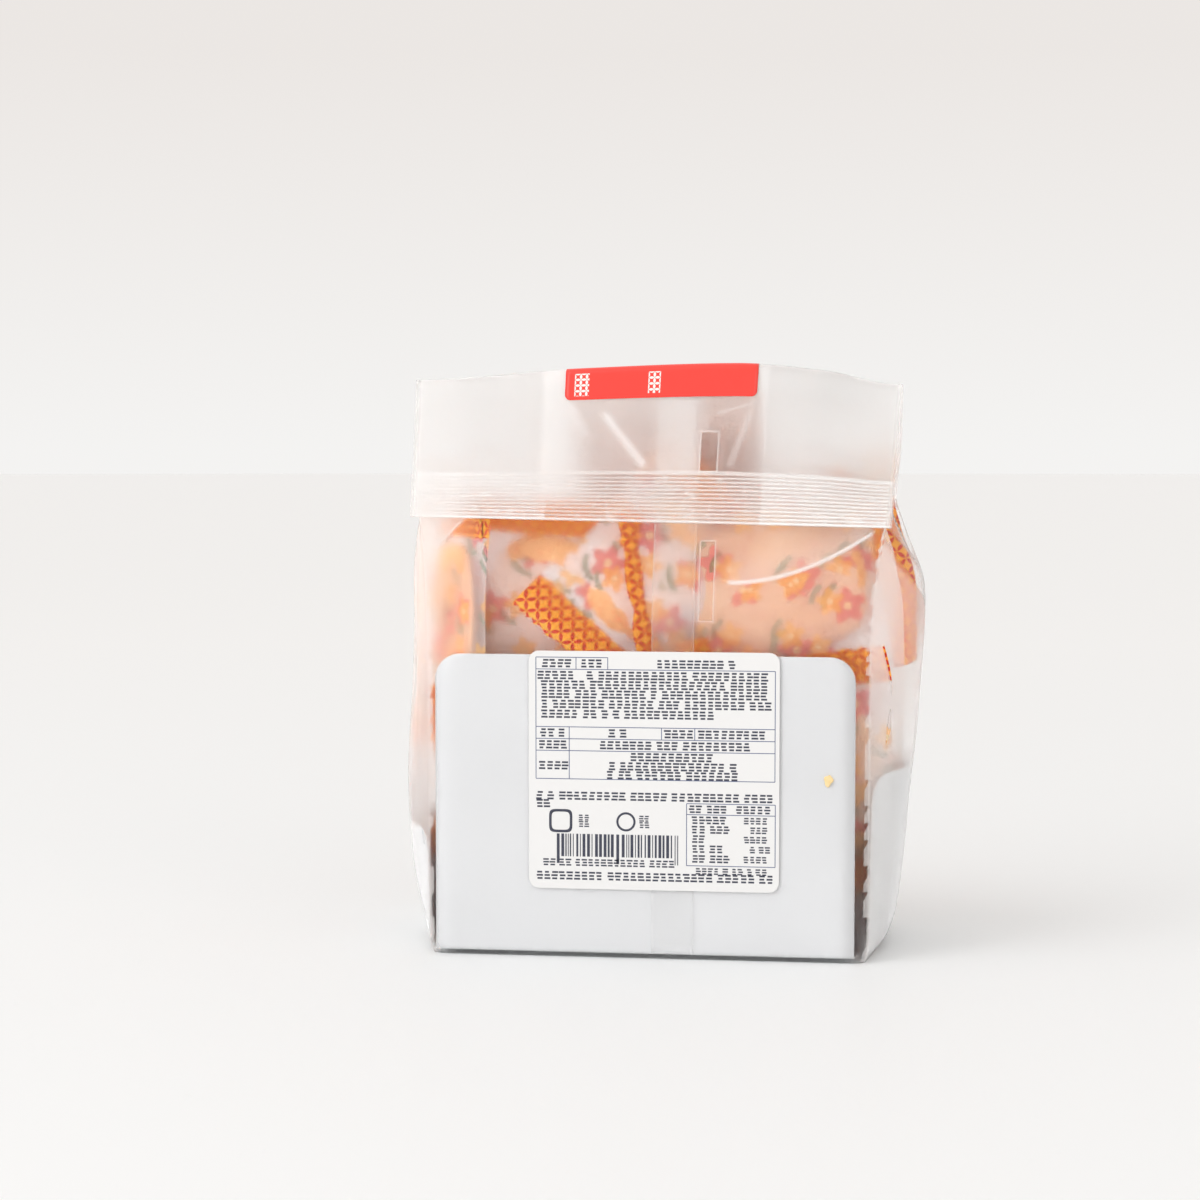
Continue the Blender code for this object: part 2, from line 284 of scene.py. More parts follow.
studio = {
    "surround": (0.905, 0.897, 0.885),
    "surround above": (0.835, 0.80, 0.775),
    "darkest at": 0.16,
    "floor colour": (0.893, 0.915, 0.925),
    "floor colour far off": (0.925, 0.94, 0.945),
    "floor radius": 12.0,
    "sun strength": 0.5,
    "sun softness": math.radians(35),
    "sun from": (-0.7, -0.5, 1.1),
    # name: place in metres, size, strength in watts
    "lamps": {
        "window left": ((-0.9, -0.8, 0.45), 0.7, 3.2),
        "soft right": ((0.9, -0.9, 0.45), 0.8, 1.3),
    },
}


def setStudio():
    scene = bpy.context.scene
    world = bpy.data.worlds.new("studio")
    world.use_nodes = True
    # a pale surround that grows a little darker just above the horizon: a ramp on the direction's height
    nodes, links = world.node_tree.nodes, world.node_tree.links
    direction, split = nodes.new("ShaderNodeTexCoord"), nodes.new("ShaderNodeSeparateXYZ")
    rise, ramp = nodes.new("ShaderNodeMapRange"), nodes.new("ShaderNodeMix")
    rise.inputs["From Max"].default_value = studio["darkest at"]
    ramp.data_type = "RGBA"
    ramp.inputs[6].default_value = (*studio["surround"], 1)
    ramp.inputs[7].default_value = (*studio["surround above"], 1)
    links.new(direction.outputs["Generated"], split.inputs[0])
    links.new(split.outputs[2], rise.inputs["Value"])
    links.new(rise.outputs[0], ramp.inputs[0])
    links.new(ramp.outputs[2], nodes["Background"].inputs["Color"])
    scene.world = world
    scene.view_settings.view_transform = "Standard"
    scene.cycles.max_bounces = 28
    scene.cycles.transmission_bounces = 26
    scene.cycles.transparent_max_bounces = 32
    scene.cycles.diffuse_bounces = 5
    scene.cycles.glossy_bounces = 4
    scene.cycles.caustics_reflective = False
    sun = bpy.data.lights.new("sun", "SUN")
    sun.energy, sun.angle = studio["sun strength"], studio["sun softness"]
    sunHolder = bpy.data.objects.new("sun", sun)
    sunHolder.rotation_euler = (-Vector(studio["sun from"])).to_track_quat("-Z", "Y").to_euler()
    scene.collection.objects.link(sunHolder)
    for name, (place, size, watts) in studio["lamps"].items():
        lamp = bpy.data.lights.new(name, "AREA")
        lamp.shape, lamp.size, lamp.energy = "DISK", size, watts
        holder = bpy.data.objects.new(name, lamp)
        holder.location = place
        holder.rotation_euler = (Vector((0, 0, 0.07)) - Vector(place)).to_track_quat("-Z", "Y").to_euler()
        scene.collection.objects.link(holder)


def makeFloor():
    # a round floor: rings at growing radii, a little below the bag so that the film's underside shows
    paint = Paint("pale floor")
    mottle = paint.noise(3.0, 2.0)
    colour = paint.mix(mottle * 0.04, studio["floor colour"], tuple(c * 0.96 for c in studio["floor colour"]))
    away = paint.node("ShaderNodeVectorMath", {"operation": "LENGTH"}, [paint.place()], output="Value")
    colour = paint.mix(((away - 0.2) / 0.8).clamped(), colour, studio["floor colour far off"])
    material = paint.finish(paint.principled(Base_Color=colour, Roughness=0.55, Specular_IOR_Level=0.25))
    radius, angle = np.meshgrid(np.array([0.0, 0.5, 2.0, studio["floor radius"]]), np.linspace(0, 2 * np.pi, 97),
                                indexing="ij")
    vertices = np.stack([radius * np.cos(angle), radius * np.sin(angle), radius * 0 - 0.00006], axis=-1)
    mesh = bpy.data.meshes.new("floor")
    index = np.arange(vertices.shape[0] * vertices.shape[1]).reshape(vertices.shape[:2])
    quads = np.stack([index[:-1, :-1], index[1:, :-1], index[1:, 1:], index[:-1, 1:]], axis=-1).reshape(-1, 4)
    mesh.from_pydata(vertices.reshape(-1, 3).tolist(), [], quads.tolist())
    merged = bmesh.new()
    merged.from_mesh(mesh)
    bmesh.ops.remove_doubles(merged, verts=merged.verts, dist=1e-5)
    merged.to_mesh(mesh)
    merged.free()
    mesh.materials.append(material)
    floor = bpy.data.objects.new("floor", mesh)
    bpy.context.scene.collection.objects.link(floor)


setCamera()
setStudio()
makeFloor()
print("camera, floor and lamps are set")


# the film's shape

bag = {
    # (height, value) keys in mm
    "back y": [(0, -27.8), (1.2, -28.9), (3, -29.15), (75, -29.15), (90, -29.0), (108, -28.5), (125, -26),
               (135, -23.8), (147, -19.7)],
    "front y": [(0, 24.8), (1.2, 25.9), (3, 26.15), (38, 26.15), (60, 26.6), (88, 26.5), (100, 23), (112, 14.5),
                (136, -8), (147, -19.3)],
    "front bow": [(39, 0), (60, 3), (85, 5), (105, 4), (125, 2), (140, 0.6), (147, 0)],
    "back crease": [(0, 54.6), (3, 55.4), (75, 55.6), (100, 57), (120, 60), (135, 61.3), (147, 61.3)],
    "front crease": [(0, 57.6), (3, 59), (30, 60.5), (85, 60.5), (115, 60.6), (135, 61.3), (147, 61.3)],
    "right side": [(0, 58), (3, 60.5), (10, 62.6), (24, 64), (39, 65.7), (64, 68.3), (87, 69.8), (107, 67),
                   (125, 61.3)],
    "left side": [(0, 57.8), (3, 60.3), (10, 62.4), (24, 65), (47, 66.2), (72, 64.9), (88, 64.4), (107, 63.4),
                  (125, 61.3)],
    "tuck": [(89, 80), (98, 68.5), (109, 55), (119, 43), (128, 34), (135, 30), (141, 27.7)],
    "ridge rise": [(-60, -3.5), (-20, -0.8), (20, 0.4), (42, -1.5), (60, -5)],
    "tuck crease height": 116.0,
    "tuck opening": 0.9,
    "tuck softness": 1.6,
    "body lean": -1.8,
    "ridge lean": 0.0,
    "seal lean": -1.3,
    "seal narrowing": 0.02,
    "seal slant": -0.02,
    "fold height": 147.0,
    "fold y": -21.5,
    "fold radius": 2.0,
    "fold turn": math.radians(169),
    "flap length": 38.1,
    "seal length": 12.7,
    "layer gap": 0.22,
    "seal gap": 0.13,
    "film thickness": 0.07,
    "flap ripple": 0.55,
}
foldEnd = bag["fold height"] + bag["fold radius"] * bag["fold turn"]
flapEnd = foldEnd + bag["flap length"]
sealStart = flapEnd - bag["seal length"]
bodyWrinkles = ripples(11, 26, 9, 40)
sideWrinkles = ripples(12, 22, 7, 30)
flapWrinkles = ripples(13, 16, 16, 60)


def sectionFrame(s):
    # where a section at path length s sits: straight up the body, round the fold, then down the flap
    turn = np.clip((s - bag["fold height"]) / bag["fold radius"], 0, bag["fold turn"])
    down = np.maximum(s - foldEnd, 0)
    hanging = down / bag["flap length"]
    back, front = throughKeys(bag["back y"], s), throughKeys(bag["front y"], s)
    inBody = s < bag["fold height"]
    bendY = bag["fold y"] + bag["fold radius"] * np.cos(turn) - down * np.sin(bag["fold turn"])
    bendZ = bag["fold height"] + bag["fold radius"] * np.sin(turn) + down * np.cos(bag["fold turn"])
    pressed = smoothStep(sealStart - 1.2, sealStart + 0.6, s)
    gap = bag["layer gap"] + (bag["seal gap"] - bag["layer gap"]) * pressed
    y = np.where(inBody, (back + front) / 2, bendY)
    z = np.where(inBody, s, bendZ)
    half = np.where(inBody, (front - back) / 2, gap)
    return y, z, turn, half, hanging


def place(x, across, s):
    # a point of the section at s: across is turned about X by the fold, then the ridge's hump and the leans are added
    y, z, turn, half, hanging = sectionFrame(s)
    height = np.minimum(s, bag["fold height"])
    rising = smoothStep(104, bag["fold height"], height)
    rise = throughKeys(bag["ridge rise"], x) * rising * (1 - hanging) + bag["seal slant"] * x * hanging
    leaning = smoothStep(80, bag["fold height"], height)
    lean = bag["body lean"] + (bag["ridge lean"] - bag["body lean"]) * leaning
    lean = lean + (bag["seal lean"] - bag["ridge lean"]) * hanging
    return np.stack([x * (1 - bag["seal narrowing"] * hanging) + lean,
                     y + across * np.cos(turn), z + rise + across * np.sin(turn)], axis=-1)


def sideShapes(t, s, side):
    # a side at a share t from the back crease to the front, as two half widths: a sine bulge, and a V tucked in
    height = np.minimum(s, bag["fold height"])
    backCrease, frontCrease = throughKeys(bag["back crease"], height), throughKeys(bag["front crease"], height)
    straight = backCrease + (frontCrease - backCrease) * t
    bulge = np.maximum(throughKeys(bag[side], height) - (backCrease + frontCrease) / 2, 0)
    bulged = straight + bulge * np.sin(np.pi * t)
    inward = 1 - abs(2 * t - 1)
    opening = bag["tuck opening"] * np.maximum(bag["tuck crease height"] - height, 0) * (1 - inward)
    return bulged, straight + inward * (throughKeys(bag["tuck"], height) - straight) + opening, inward


def sideReach(t, s, side):
    # the half width: the softened least of the bulge and the tuck
    bulged, tucked, inward = sideShapes(t, s, side)
    return (bulged + tucked) / 2 - np.hypot((bulged - tucked) / 2, bag["tuck softness"] * inward)


def sideFolds(t, s, side):
    # distance in mm to a side's nearest fold: where its bulge meets its tuck, or the tuck's innermost line
    bulged, tucked, inward = sideShapes(t, s, side)
    meeting = abs(bulged - tucked) + 30 * (s > 124)
    innermost = (1 - inward) * (bulged - tucked) / np.maximum(inward, 0.2) + 30 * ((s < 90) | (bulged < tucked))
    return np.minimum(meeting, innermost)


def buckle(x, z):
    # the crease on the back panel's right: a parabola that climbs to the corner, steep above and fading below
    along = smoothStep(19, 24, x) * (1 - smoothStep(52, 58, x))
    off = z - (95.0 + 0.0101 * (x - 20) ** 2)
    return along * (0.9 * np.exp(-np.maximum(off, 0) / 5.0) * np.exp(-np.maximum(-off, 0) / 1.1))


def panelGrid(panel, columns, s):
    # one panel of the tube on a grid of (s, share across the panel), with its UV and how far its edge and folds are
    s, share = np.meshgrid(s, np.linspace(0, 1, columns), indexing="ij")
    height = np.minimum(s, bag["fold height"])
    half = sectionFrame(s)[3]
    backCrease, frontCrease = throughKeys(bag["back crease"], height), throughKeys(bag["front crease"], height)
    inFlap = smoothStep(136, bag["fold height"], s)
    rounding = (1 - inFlap) * np.minimum(1.3, half * 0.3)
    flat = 1 - inFlap
    if panel == "back":
        x = backCrease * (2 * share - 1)
        edge = backCrease - abs(x)
        across = -half + rounding * np.clip(1 - edge / 3.2, 0, 1) ** 2
        u = x / 100
        fold = 30 + 0 * x
    elif panel == "front":
        x = frontCrease * (1 - 2 * share)
        edge = frontCrease - abs(x)
        across = half + throughKeys(bag["front bow"], height) * flat * (1 - (x / frontCrease) ** 2)
        u = 4 + x / 100
        fold = 30 + 0 * x
    else:
        right = panel == "right side"
        t = share if right else 1 - share
        x = sideReach(t, s, panel) * (1 if right else -1)
        edge = np.minimum(t, 1 - t) * 2 * np.maximum(half, 26 * (1 - flat))
        across = -half + rounding + (2 * half - rounding) * t
        u = (2 if right else 6) + t
        fold = sideFolds(t, s, panel)
    return place(x, across, s), np.stack([u, s / 100], axis=-1), edge, fold


def outward(points):
    # unit normals of a grid, from the cross product of its two directions
    along, across = np.gradient(points, axis=0), np.gradient(points, axis=1)
    normal = np.cross(across, along)
    return normal / np.maximum(np.linalg.norm(normal, axis=-1, keepdims=True), 1e-9)


def slack(points, panel, s):
    # how far a panel's ripples push it outwards: hardly at all over the card, most between the card and the ridge
    body = smoothStep(2, 12, s) * (1 - smoothStep(128, 142, s))
    if panel == "back":
        free = 0.04 + 0.96 * smoothStep(76, 88, s)
        return free * body * (0.75 * bodyWrinkles(points) + buckle(points[..., 0], points[..., 2]) * (s < 130))
    if panel == "front":
        free = 0.05 + 0.95 * smoothStep(39, 52, s)
        return free * body * 0.9 * bodyWrinkles(points)
    return body * 0.8 * sideWrinkles(points * np.array([1, 1, 0.45]))


def flapShift(x, s):
    # the flap's broad ripples, as a movement along the way that it faces, dying out in the flat seal
    facing = np.array([0, math.cos(bag["fold turn"]), math.sin(bag["fold turn"])])
    inFlap = smoothStep(foldEnd - 2, foldEnd + 9, s) * (1 - 0.85 * smoothStep(sealStart - 4, sealStart + 1, s))
    ripple = flapWrinkles(np.stack([x, 0 * x, s * 0.8 + 0 * x], axis=-1))
    return facing * (bag["flap ripple"] * inFlap * ripple)[..., None]


def wrinkled(points, panel, s, edge):
    # moves a panel's grid along its normals by its slack, less near its creases, and then by the flap's ripples
    s = s[:, None] + 0 * points[..., 0]
    steady = smoothStep(0, 6, edge)
    if panel in ("right side", "left side"):
        steady = 0.25 + 0.75 * steady
    return points + outward(points) * (steady * slack(points, panel, s))[..., None] + flapShift(points[..., 0], s)


def sealRibs(s):
    # cosine ribs across the end seal, pitch 1 mm, that fade in over its first millimetre
    within = smoothStep(sealStart + 0.2, sealStart + 1.0, s) * (1 - smoothStep(flapEnd - 0.5, flapEnd - 0.1, s))
    return 0.075 * within * np.cos(2 * np.pi * (s - sealStart) / 0.98)


def filmHeights():
    body = np.concatenate([[0, 0.5, 1.1, 1.8], np.linspace(3, 74, 34), np.linspace(75.4, 145.5, 56)])
    fold = np.linspace(bag["fold height"], foldEnd, 10)
    flap = np.linspace(foldEnd + 1.3, sealStart - 0.8, 18)
    seal = np.linspace(sealStart, flapEnd, 53)
    return np.concatenate([body, fold, flap, seal])


def baseCap(rings):
    # the underside: the four panels' lowest rows drawn in towards the base's middle line in steps
    shares = np.array([1.0, 0.93, 0.6, 0.25, 0.0])
    grids = []
    for points, uv in rings:
        lowest = points[0]
        middle = lowest * np.array([1, 0, 1]) + np.array([0, -1.5, 0])
        cap = lowest[None] * shares[:, None, None] + middle[None] * (1 - shares[:, None, None])
        cap[..., 2] = 0.0
        grids.append((cap[::-1], np.stack([np.repeat(uv[:1, :, 0], len(shares), 0),
                                           np.repeat(uv[:1, :, 1], len(shares), 0)], axis=-1)))
    return grids


film = {
    "clear tint": (1.0, 1.0, 1.0),
    "milk": (1.0, 0.995, 0.99),
    "frosting": 0.55,
    "bending": 1.13,  # refractive index: low, so that little light is lost between the layers
    "haze": 0.012,
    "flap haze": 0.008,
    "flap fold painted sheen": 0.25,
    "flap side haze": 0.14,
    "flap middle haze": 0.22,
    "flap pale to": 10.0,
    "flap top haze": 0.25,
    "seal haze": 0.005,
    "rib painted highlight": 0.50,
    # pale lines at creases and folds: partly the film's whitening where it is creased, partly painted highlight
    "crease haze": 0.35,
    "fold haze": 0.35,
    "corner haze": 0.32,
    "side facet haze": 0.20,
    "clear facet": 0.75,
    "clear facet top": 124.0,
    "light let through": 0.80,
    # beside the back seam: low and high x on the panel, low and high path length, in mm
    "clear windows": ((13.1, 16.4, 85.6, 105.2), (12.4, 16.4, 168.3, 177.8)),
    # straight creases on the back panel and the flap, whitened partly as painted highlight: from (x, s) to (x, s) in
    # mm, half width and haze
    "back creases": (
        ((-53.6, 103.8), (-47.6, 110.5), 0.35, 0.5),
        ((-12.0, 164.0), (-2.5, 176.0), 1.8, 0.45),
        ((-31.5, 158.0), (-29.5, 175.0), 2.6, 0.35),
        ((-22.0, 160.0), (-17.5, 168.0), 2.0, 0.25),
        ((16.0, 163.5), (26.5, 160.5), 0.5, 0.25),
        ((24.0, 164.0), (20.0, 176.0), 1.4, 0.22),
        ((40.0, 170.0), (52.0, 174.0), 2.2, 0.25),
        ((-52.0, 168.0), (-38.0, 173.0), 2.4, 0.25),
    ),
    # the inner edges of the tucked sides, seen through the flap: x in mm
    "flap lines": (-27.0, 28.4),
}


def filmMaterial(name, strip=False):
    paint = Paint(name)
    u, v = paint.uv()
    x, s = u * 100, v * 100
    onBack = u < 1.0
    edge = paint.attribute("edge")
    mottled = paint.noise(28.0, 1.0)
    inFlap = (s > bag["fold height"]) * 1.0
    inSeal = s.band(sealStart + 0.2, flapEnd + 1, 0.3)
    ribs = ((s - sealStart) / 0.98).fraction()
    ribs = (1 - abs(ribs - 0.5) * 2) ** 2.0
    streaks = paint.noise(9.0, 1.0, stretch=(1, 1, 9))
    # masks for the pale crease and fold lines, partly whitening of the creased film and partly painted highlight
    creases = (1 - edge / 0.4).clamped()
    folds = (1 - paint.attribute("fold") / 0.7).clamped()
    specks = paint.noise(900.0, 0.0)
    # painted sheen: pale bands of haze stretched along the flap stand for the soft highlights on its folds
    paintedFoldSheen = ((paint.noise(42.0, 0.0, stretch=(1, 1, 0.22)) - 0.5) * 3.2).clamped()
    haze = film["haze"] + (mottled - 0.5) * 0.03
    # the white on the seal's ribs, and the pale lines at its two ends on the next line, are painted highlight
    haze = haze + inFlap * film["flap haze"] + inSeal * (film["seal haze"] + ribs * streaks * 2 * film["rib painted highlight"])
    haze = haze + inSeal * (specks > 0.70) * 0.2 + s.line(flapEnd - 0.4, 0.5) * 0.25 + s.line(sealStart, 0.4) * 0.3
    lowLine, highLine = film["flap lines"]
    besides = ((lowLine - x) / 0.3).clamped().most(((x - highLine) / 0.3).clamped())
    underRidge = (1 - (s - foldEnd) / 14.0).clamped()
    inFlapOnly = inFlap * (1 - inSeal) * onBack
    haze = haze + inFlapOnly * (paintedFoldSheen * film["flap fold painted sheen"] + underRidge * film["flap top haze"])
    # more milk over the flap's middle, partly behind the closure label: painted light that lifts the shade there
    haze = haze + inFlapOnly * x.band(lowLine, film["flap pale to"], 5.0) * film["flap middle haze"]
    haze = haze + inFlap * onBack * (besides * film["flap side haze"]
                                     + x.line(lowLine, 0.35).most(x.line(highLine, 0.35)) * 0.35)
    for (x0, s0), (x1, s1), wide, strength in film["back creases"]:
        long = math.hypot(x1 - x0, s1 - s0)
        along = ((x - x0) * (x1 - x0) + (s - s0) * (s1 - s0)) / long
        off = ((x - x0) * (s1 - s0) - (s - s0) * (x1 - x0)) / long
        haze = haze + onBack * off.line(0, wide) * along.band(0, long, max(0.5, wide)) * strength
    windows = None
    for lowX, highX, lowS, highS in film["clear windows"]:
        inside = x.band(lowX, highX, 0.12) * s.band(lowS, highS, 0.12)
        around = x.band(lowX - 0.35, highX + 0.35, 0.12) * s.band(lowS - 0.35, highS + 0.35, 0.12)
        outline = (around - inside).clamped()
        haze = haze + onBack * outline * 0.4
        windows = inside if windows is None else windows.most(inside)
    windows = windows * onBack
    if strip:
        # the strip's borders are whitened: painted highlight along its curled edges
        haze = haze * 0.5 + 0.05 + (1 - edge / 0.3).clamped() * 0.3
    else:
        # painted highlight: a pale line along the buckle crease and a paler facet above it stand for the light that the
        # crease catches
        buckleLine = (x - 20) * (x - 20) * 0.0101 + 95.0
        buckleHighlight = (1 - abs(s - buckleLine) / 0.8).clamped() * x.band(21, 54.5, 1.5) * onBack * (s < 120)
        facet = (1 - (s - buckleLine) / 8.0).clamped() * (s > buckleLine) * x.band(22, 52, 4) * onBack * (s < 116)
        haze = haze + buckleHighlight * 0.85 + facet * 0.16 + creases * film["crease haze"] + folds * film["fold haze"]
        # the pale corner beside the left crease, and the pale facet below the right side's slanting fold
        corner = ((x * -1 + s - 156.6) / 2.0).clamped() * x.band(-60, -46, 1.5) * s.band(100, 128, 2) * onBack
        t = u - 2
        below = ((106.0 - t * 42 - s) / 1.5).clamped() * ((s - 62) / 25.0).clamped() * t.band(0, 0.9, 0.05)
        haze = haze + corner * film["corner haze"] + below * film["side facet haze"]
        haze = haze * (1 - windows)
        # above that fold the side is seen edge on, and is clearer
        above = ((s + t * 42 - 106.0) / 1.5).clamped() * t.band(0, 0.9, 0.05) * (s < film["clear facet top"])
        windows = windows.most(above * film["clear facet"])
    haze = haze.clamped()
    roughness = (film["frosting"] + (mottled - 0.5) * 0.12) * (1 - windows) + windows * 0.02
    clear = paint.principled(Base_Color=film["clear tint"], Roughness=roughness, IOR=film["bending"],
                             Transmission_Weight=1.0)
    sheen = paint.principled(Base_Color=film["milk"], Roughness=0.35, IOR=1.45)
    through = paint.node("ShaderNodeBsdfTranslucent", None, {"Color": (*film["milk"], 1)})
    milk = paint.blend(0.5, sheen, through)
    surface = paint.blend(haze, clear, milk)
    shadowRay = paint.node("ShaderNodeLightPath", output="Is Shadow Ray")
    light = film["light let through"]
    passing = paint.node("ShaderNodeBsdfTransparent", None, {"Color": (light, light, light, 1)})
    # the stacked layers' outer edges in the flap are left nearly clear, or they would pile up to a dark line
    border = (1.2 - edge).clamped() * inFlap * 0.85
    clearBorder = paint.node("ShaderNodeBsdfTransparent", None, {"Color": (1, 1, 1, 1)})
    surface = paint.blend(border, surface, clearBorder)
    return paint.finish(paint.blend(shadowRay, surface, passing))


def makeFilm():
    # the bag's tube of film: four panels from the base up, over the fold and down to the seal, and the base's cap
    s = filmHeights()
    grids, edges, folds = [], [], []
    for panel, columns in (("back", 88), ("right side", 44), ("front", 52), ("left side", 44)):
        points, uv, edge, fold = panelGrid(panel, columns, s)
        seam = points[:, [0, -1]].copy()
        points = wrinkled(points, panel, s, edge)
        points = points + outward(points) * (sealRibs(s)[:, None] * (panel in ("back", "front")))[..., None]
        # both panels at a crease move alike: the edge columns keep only the flap's shared movement
        points[:, [0, -1]] = seam + flapShift(seam[..., 0], s[:, None])
        grids.append((points, uv))
        edges.append(edge)
        folds.append(fold)
    caps = baseCap(grids)
    edges += [np.full(cap.shape[:2], 9.0) for cap, uv in caps]
    folds += [np.full(cap.shape[:2], 9.0) for cap, uv in caps]
    piece = pieceFromGrids("film", grids + caps, filmMaterial("frosted film"), node="film_bag",
                           attributes=[("edge", edges), ("fold", folds)], sharp=75)
    thicken(piece, bag["film thickness"])


makeFilm()
print("film is made")


# the back seam's strip

seam = {"low x": 1.3, "high x": 11.9, "lift": 0.13, "thickness": 0.09, "left at ridge": 1.3}


def onBack(x, s, lift):
    # a point on the back panel's outer face, x measured from the panel's middle, lifted towards the outside
    points = place(x, -sectionFrame(s)[3], s)
    proud = slack(points, "back", s) + lift
    return points + flapShift(points[..., 0], s) + normalBack(s) * proud[..., None]


def normalBack(s):
    # the back panel's outward direction: -Y in the body, turned about X in the fold and the flap
    turn = sectionFrame(s)[2]
    return np.stack([0 * turn, -np.cos(turn), -np.sin(turn)], axis=-1)


def makeSeamStrip():
    # the overlapped seam of the tube: a narrow second layer along the back panel, its borders curled up a little
    s = np.concatenate([np.linspace(1.5, 74, 30), np.linspace(76, 146, 60), np.linspace(147, foldEnd, 10),
                        np.linspace(foldEnd + 1.5, flapEnd, 36)])
    x = np.linspace(seam["low x"], seam["high x"], 13)
    s, x = np.meshgrid(s, x, indexing="ij")
    edge = np.minimum(x - seam["low x"], seam["high x"] - x)
    curl = 0.12 * np.exp(-edge / 0.5)
    atRidge = smoothStep(104, bag["fold height"], s) * (1 - sectionFrame(s)[4])
    points = onBack(x - seam["left at ridge"] * atRidge, s, seam["lift"] + curl)
    grid = (points, np.stack([x / 100, s / 100], axis=-1))
    piece = pieceFromGrids("seam_strip", [grid], filmMaterial("seam film", strip=True),
                           attributes=[("edge", [edge])])
    thicken(piece, seam["thickness"], 1.0)


makeSeamStrip()
print("seam strip is made")


# card

card = {
    "half width": 52.85,
    "centre x": -2.6,
    "lip half width": 56.2,
    "lip centre x": -2.2,
    "right wing top": 47.0,
    "left wing top": 31.0,
    "wing margin": 0.06,
    "wing clearance": 0.8,
    "back y": -28.98,
    "front y": 25.9,
    "bottom z": 1.1,
    "back top": 76.7,
    "lip top": 38.0,
    "thickness": 0.42,
    "fold radius": 1.2,
    "corner": 6.4,
    "face": (0.66, 0.67, 0.685),
    # the dark maroon of the card's inside is painted shade, standing for the deep shade low inside the bag
    "inner face": (0.16, 0.06, 0.055),
    "edge": (0.86, 0.84, 0.82),
}


def cardPath():
    # down the back panel, round a quarter circle, along the base, round another and up the lip: (y, z) in mm
    r = card["fold radius"]
    turn = np.linspace(0, np.pi / 2, 7)
    corner = card["corner"] * (1 - np.cos(np.linspace(0, np.pi / 2, 10)))
    downBack = card["back top"] - np.concatenate([corner, np.linspace(corner[-1], card["back top"] - card["bottom z"] - r,
                                                                      16)[1:-1]])
    upLip = card["lip top"] - np.concatenate([corner, np.linspace(corner[-1], card["lip top"] - card["bottom z"] - r,
                                                                  8)[1:-1]])[::-1]
    y = np.concatenate([0 * downBack + card["back y"], card["back y"] + r * (1 - np.cos(turn)),
                        np.linspace(card["back y"] + r, card["front y"] - r, 10)[1:-1],
                        card["front y"] - r * (1 - np.sin(turn)), 0 * upLip + card["front y"]])
    z = np.concatenate([downBack, card["bottom z"] + r * (1 - np.sin(turn)), np.full(8, card["bottom z"]),
                        card["bottom z"] + r * (1 - np.cos(turn)), upLip])
    return y, z


def cardMaterials():
    made = []
    for name, colour in (("card face", card["face"]), ("card inside painted shade", card["inner face"]), ("card edge", card["edge"])):
        paint = Paint(name)
        fibres = paint.noise(260.0, 2.0, roughness=0.65)
        cloud = paint.noise(22.0, 2.0)
        shade = paint.mix((fibres - 0.5) * 0.16 + 0.5, tuple(c * 0.95 for c in colour), tuple(c * 1.04 for c in colour))
        shade = paint.mix(cloud * 0.10, shade, tuple(c * 0.9 for c in colour))
        made.append(paint.finish(paint.principled(
            Base_Color=shade, Roughness=0.6, Normal=paint.bump(fibres, 0.00004, 0.5))))
    return made


def makeCard():
    # the path carried across the width, which a quarter circle narrows at both ends
    y, z = cardPath()
    length = np.concatenate([[0], np.cumsum(np.hypot(np.diff(y), np.diff(z)))])
    fromEnd = np.minimum(length, length[-1] - length)
    r = card["corner"]
    onLip = np.clip((y - card["back y"]) / (card["front y"] - card["back y"]), 0, 1)
    half = card["half width"] + (card["lip half width"] - card["half width"]) * onLip
    half = half - np.where(fromEnd < r, r - np.sqrt(np.maximum(r * r - (r - fromEnd) ** 2, 0)), 0)
    centre = card["centre x"] + (card["lip centre x"] - card["centre x"]) * onLip
    x = centre[:, None] + half[:, None] * np.linspace(-1, 1, 25)
    warp = 0.12 * np.sin(x / 19 + 1.0) * (smoothStep(20, 70, z) * (y < 0))[:, None]
    points = np.stack([x, y[:, None] + warp.clip(0, 1), z[:, None] + 0 * x], axis=-1)
    uv = np.stack([x / 100, length[:, None] / 100 + 0 * x], axis=-1)
    face, inside, rim = cardMaterials()
    piece = pieceFromGrids("card", [(points[:, ::-1], uv[:, ::-1])], face, node="base_card")
    cardStock(piece, inside, rim)
    # each side wing gets the same dark inside of painted shade
    for side, top in (("right side", card["right wing top"]), ("left side", card["left wing top"])):
        cardStock(makeCardWing(side, top, face), inside, rim)


def cardStock(piece, inside, rim):
    # gives an open sheet the card's thickness, a dark inside of painted shade and its pale cut edge
    piece.data.materials.append(inside)
    piece.data.materials.append(rim)
    solid = thicken(piece, card["thickness"])
    solid.material_offset = 1
    solid.material_offset_rim = 2


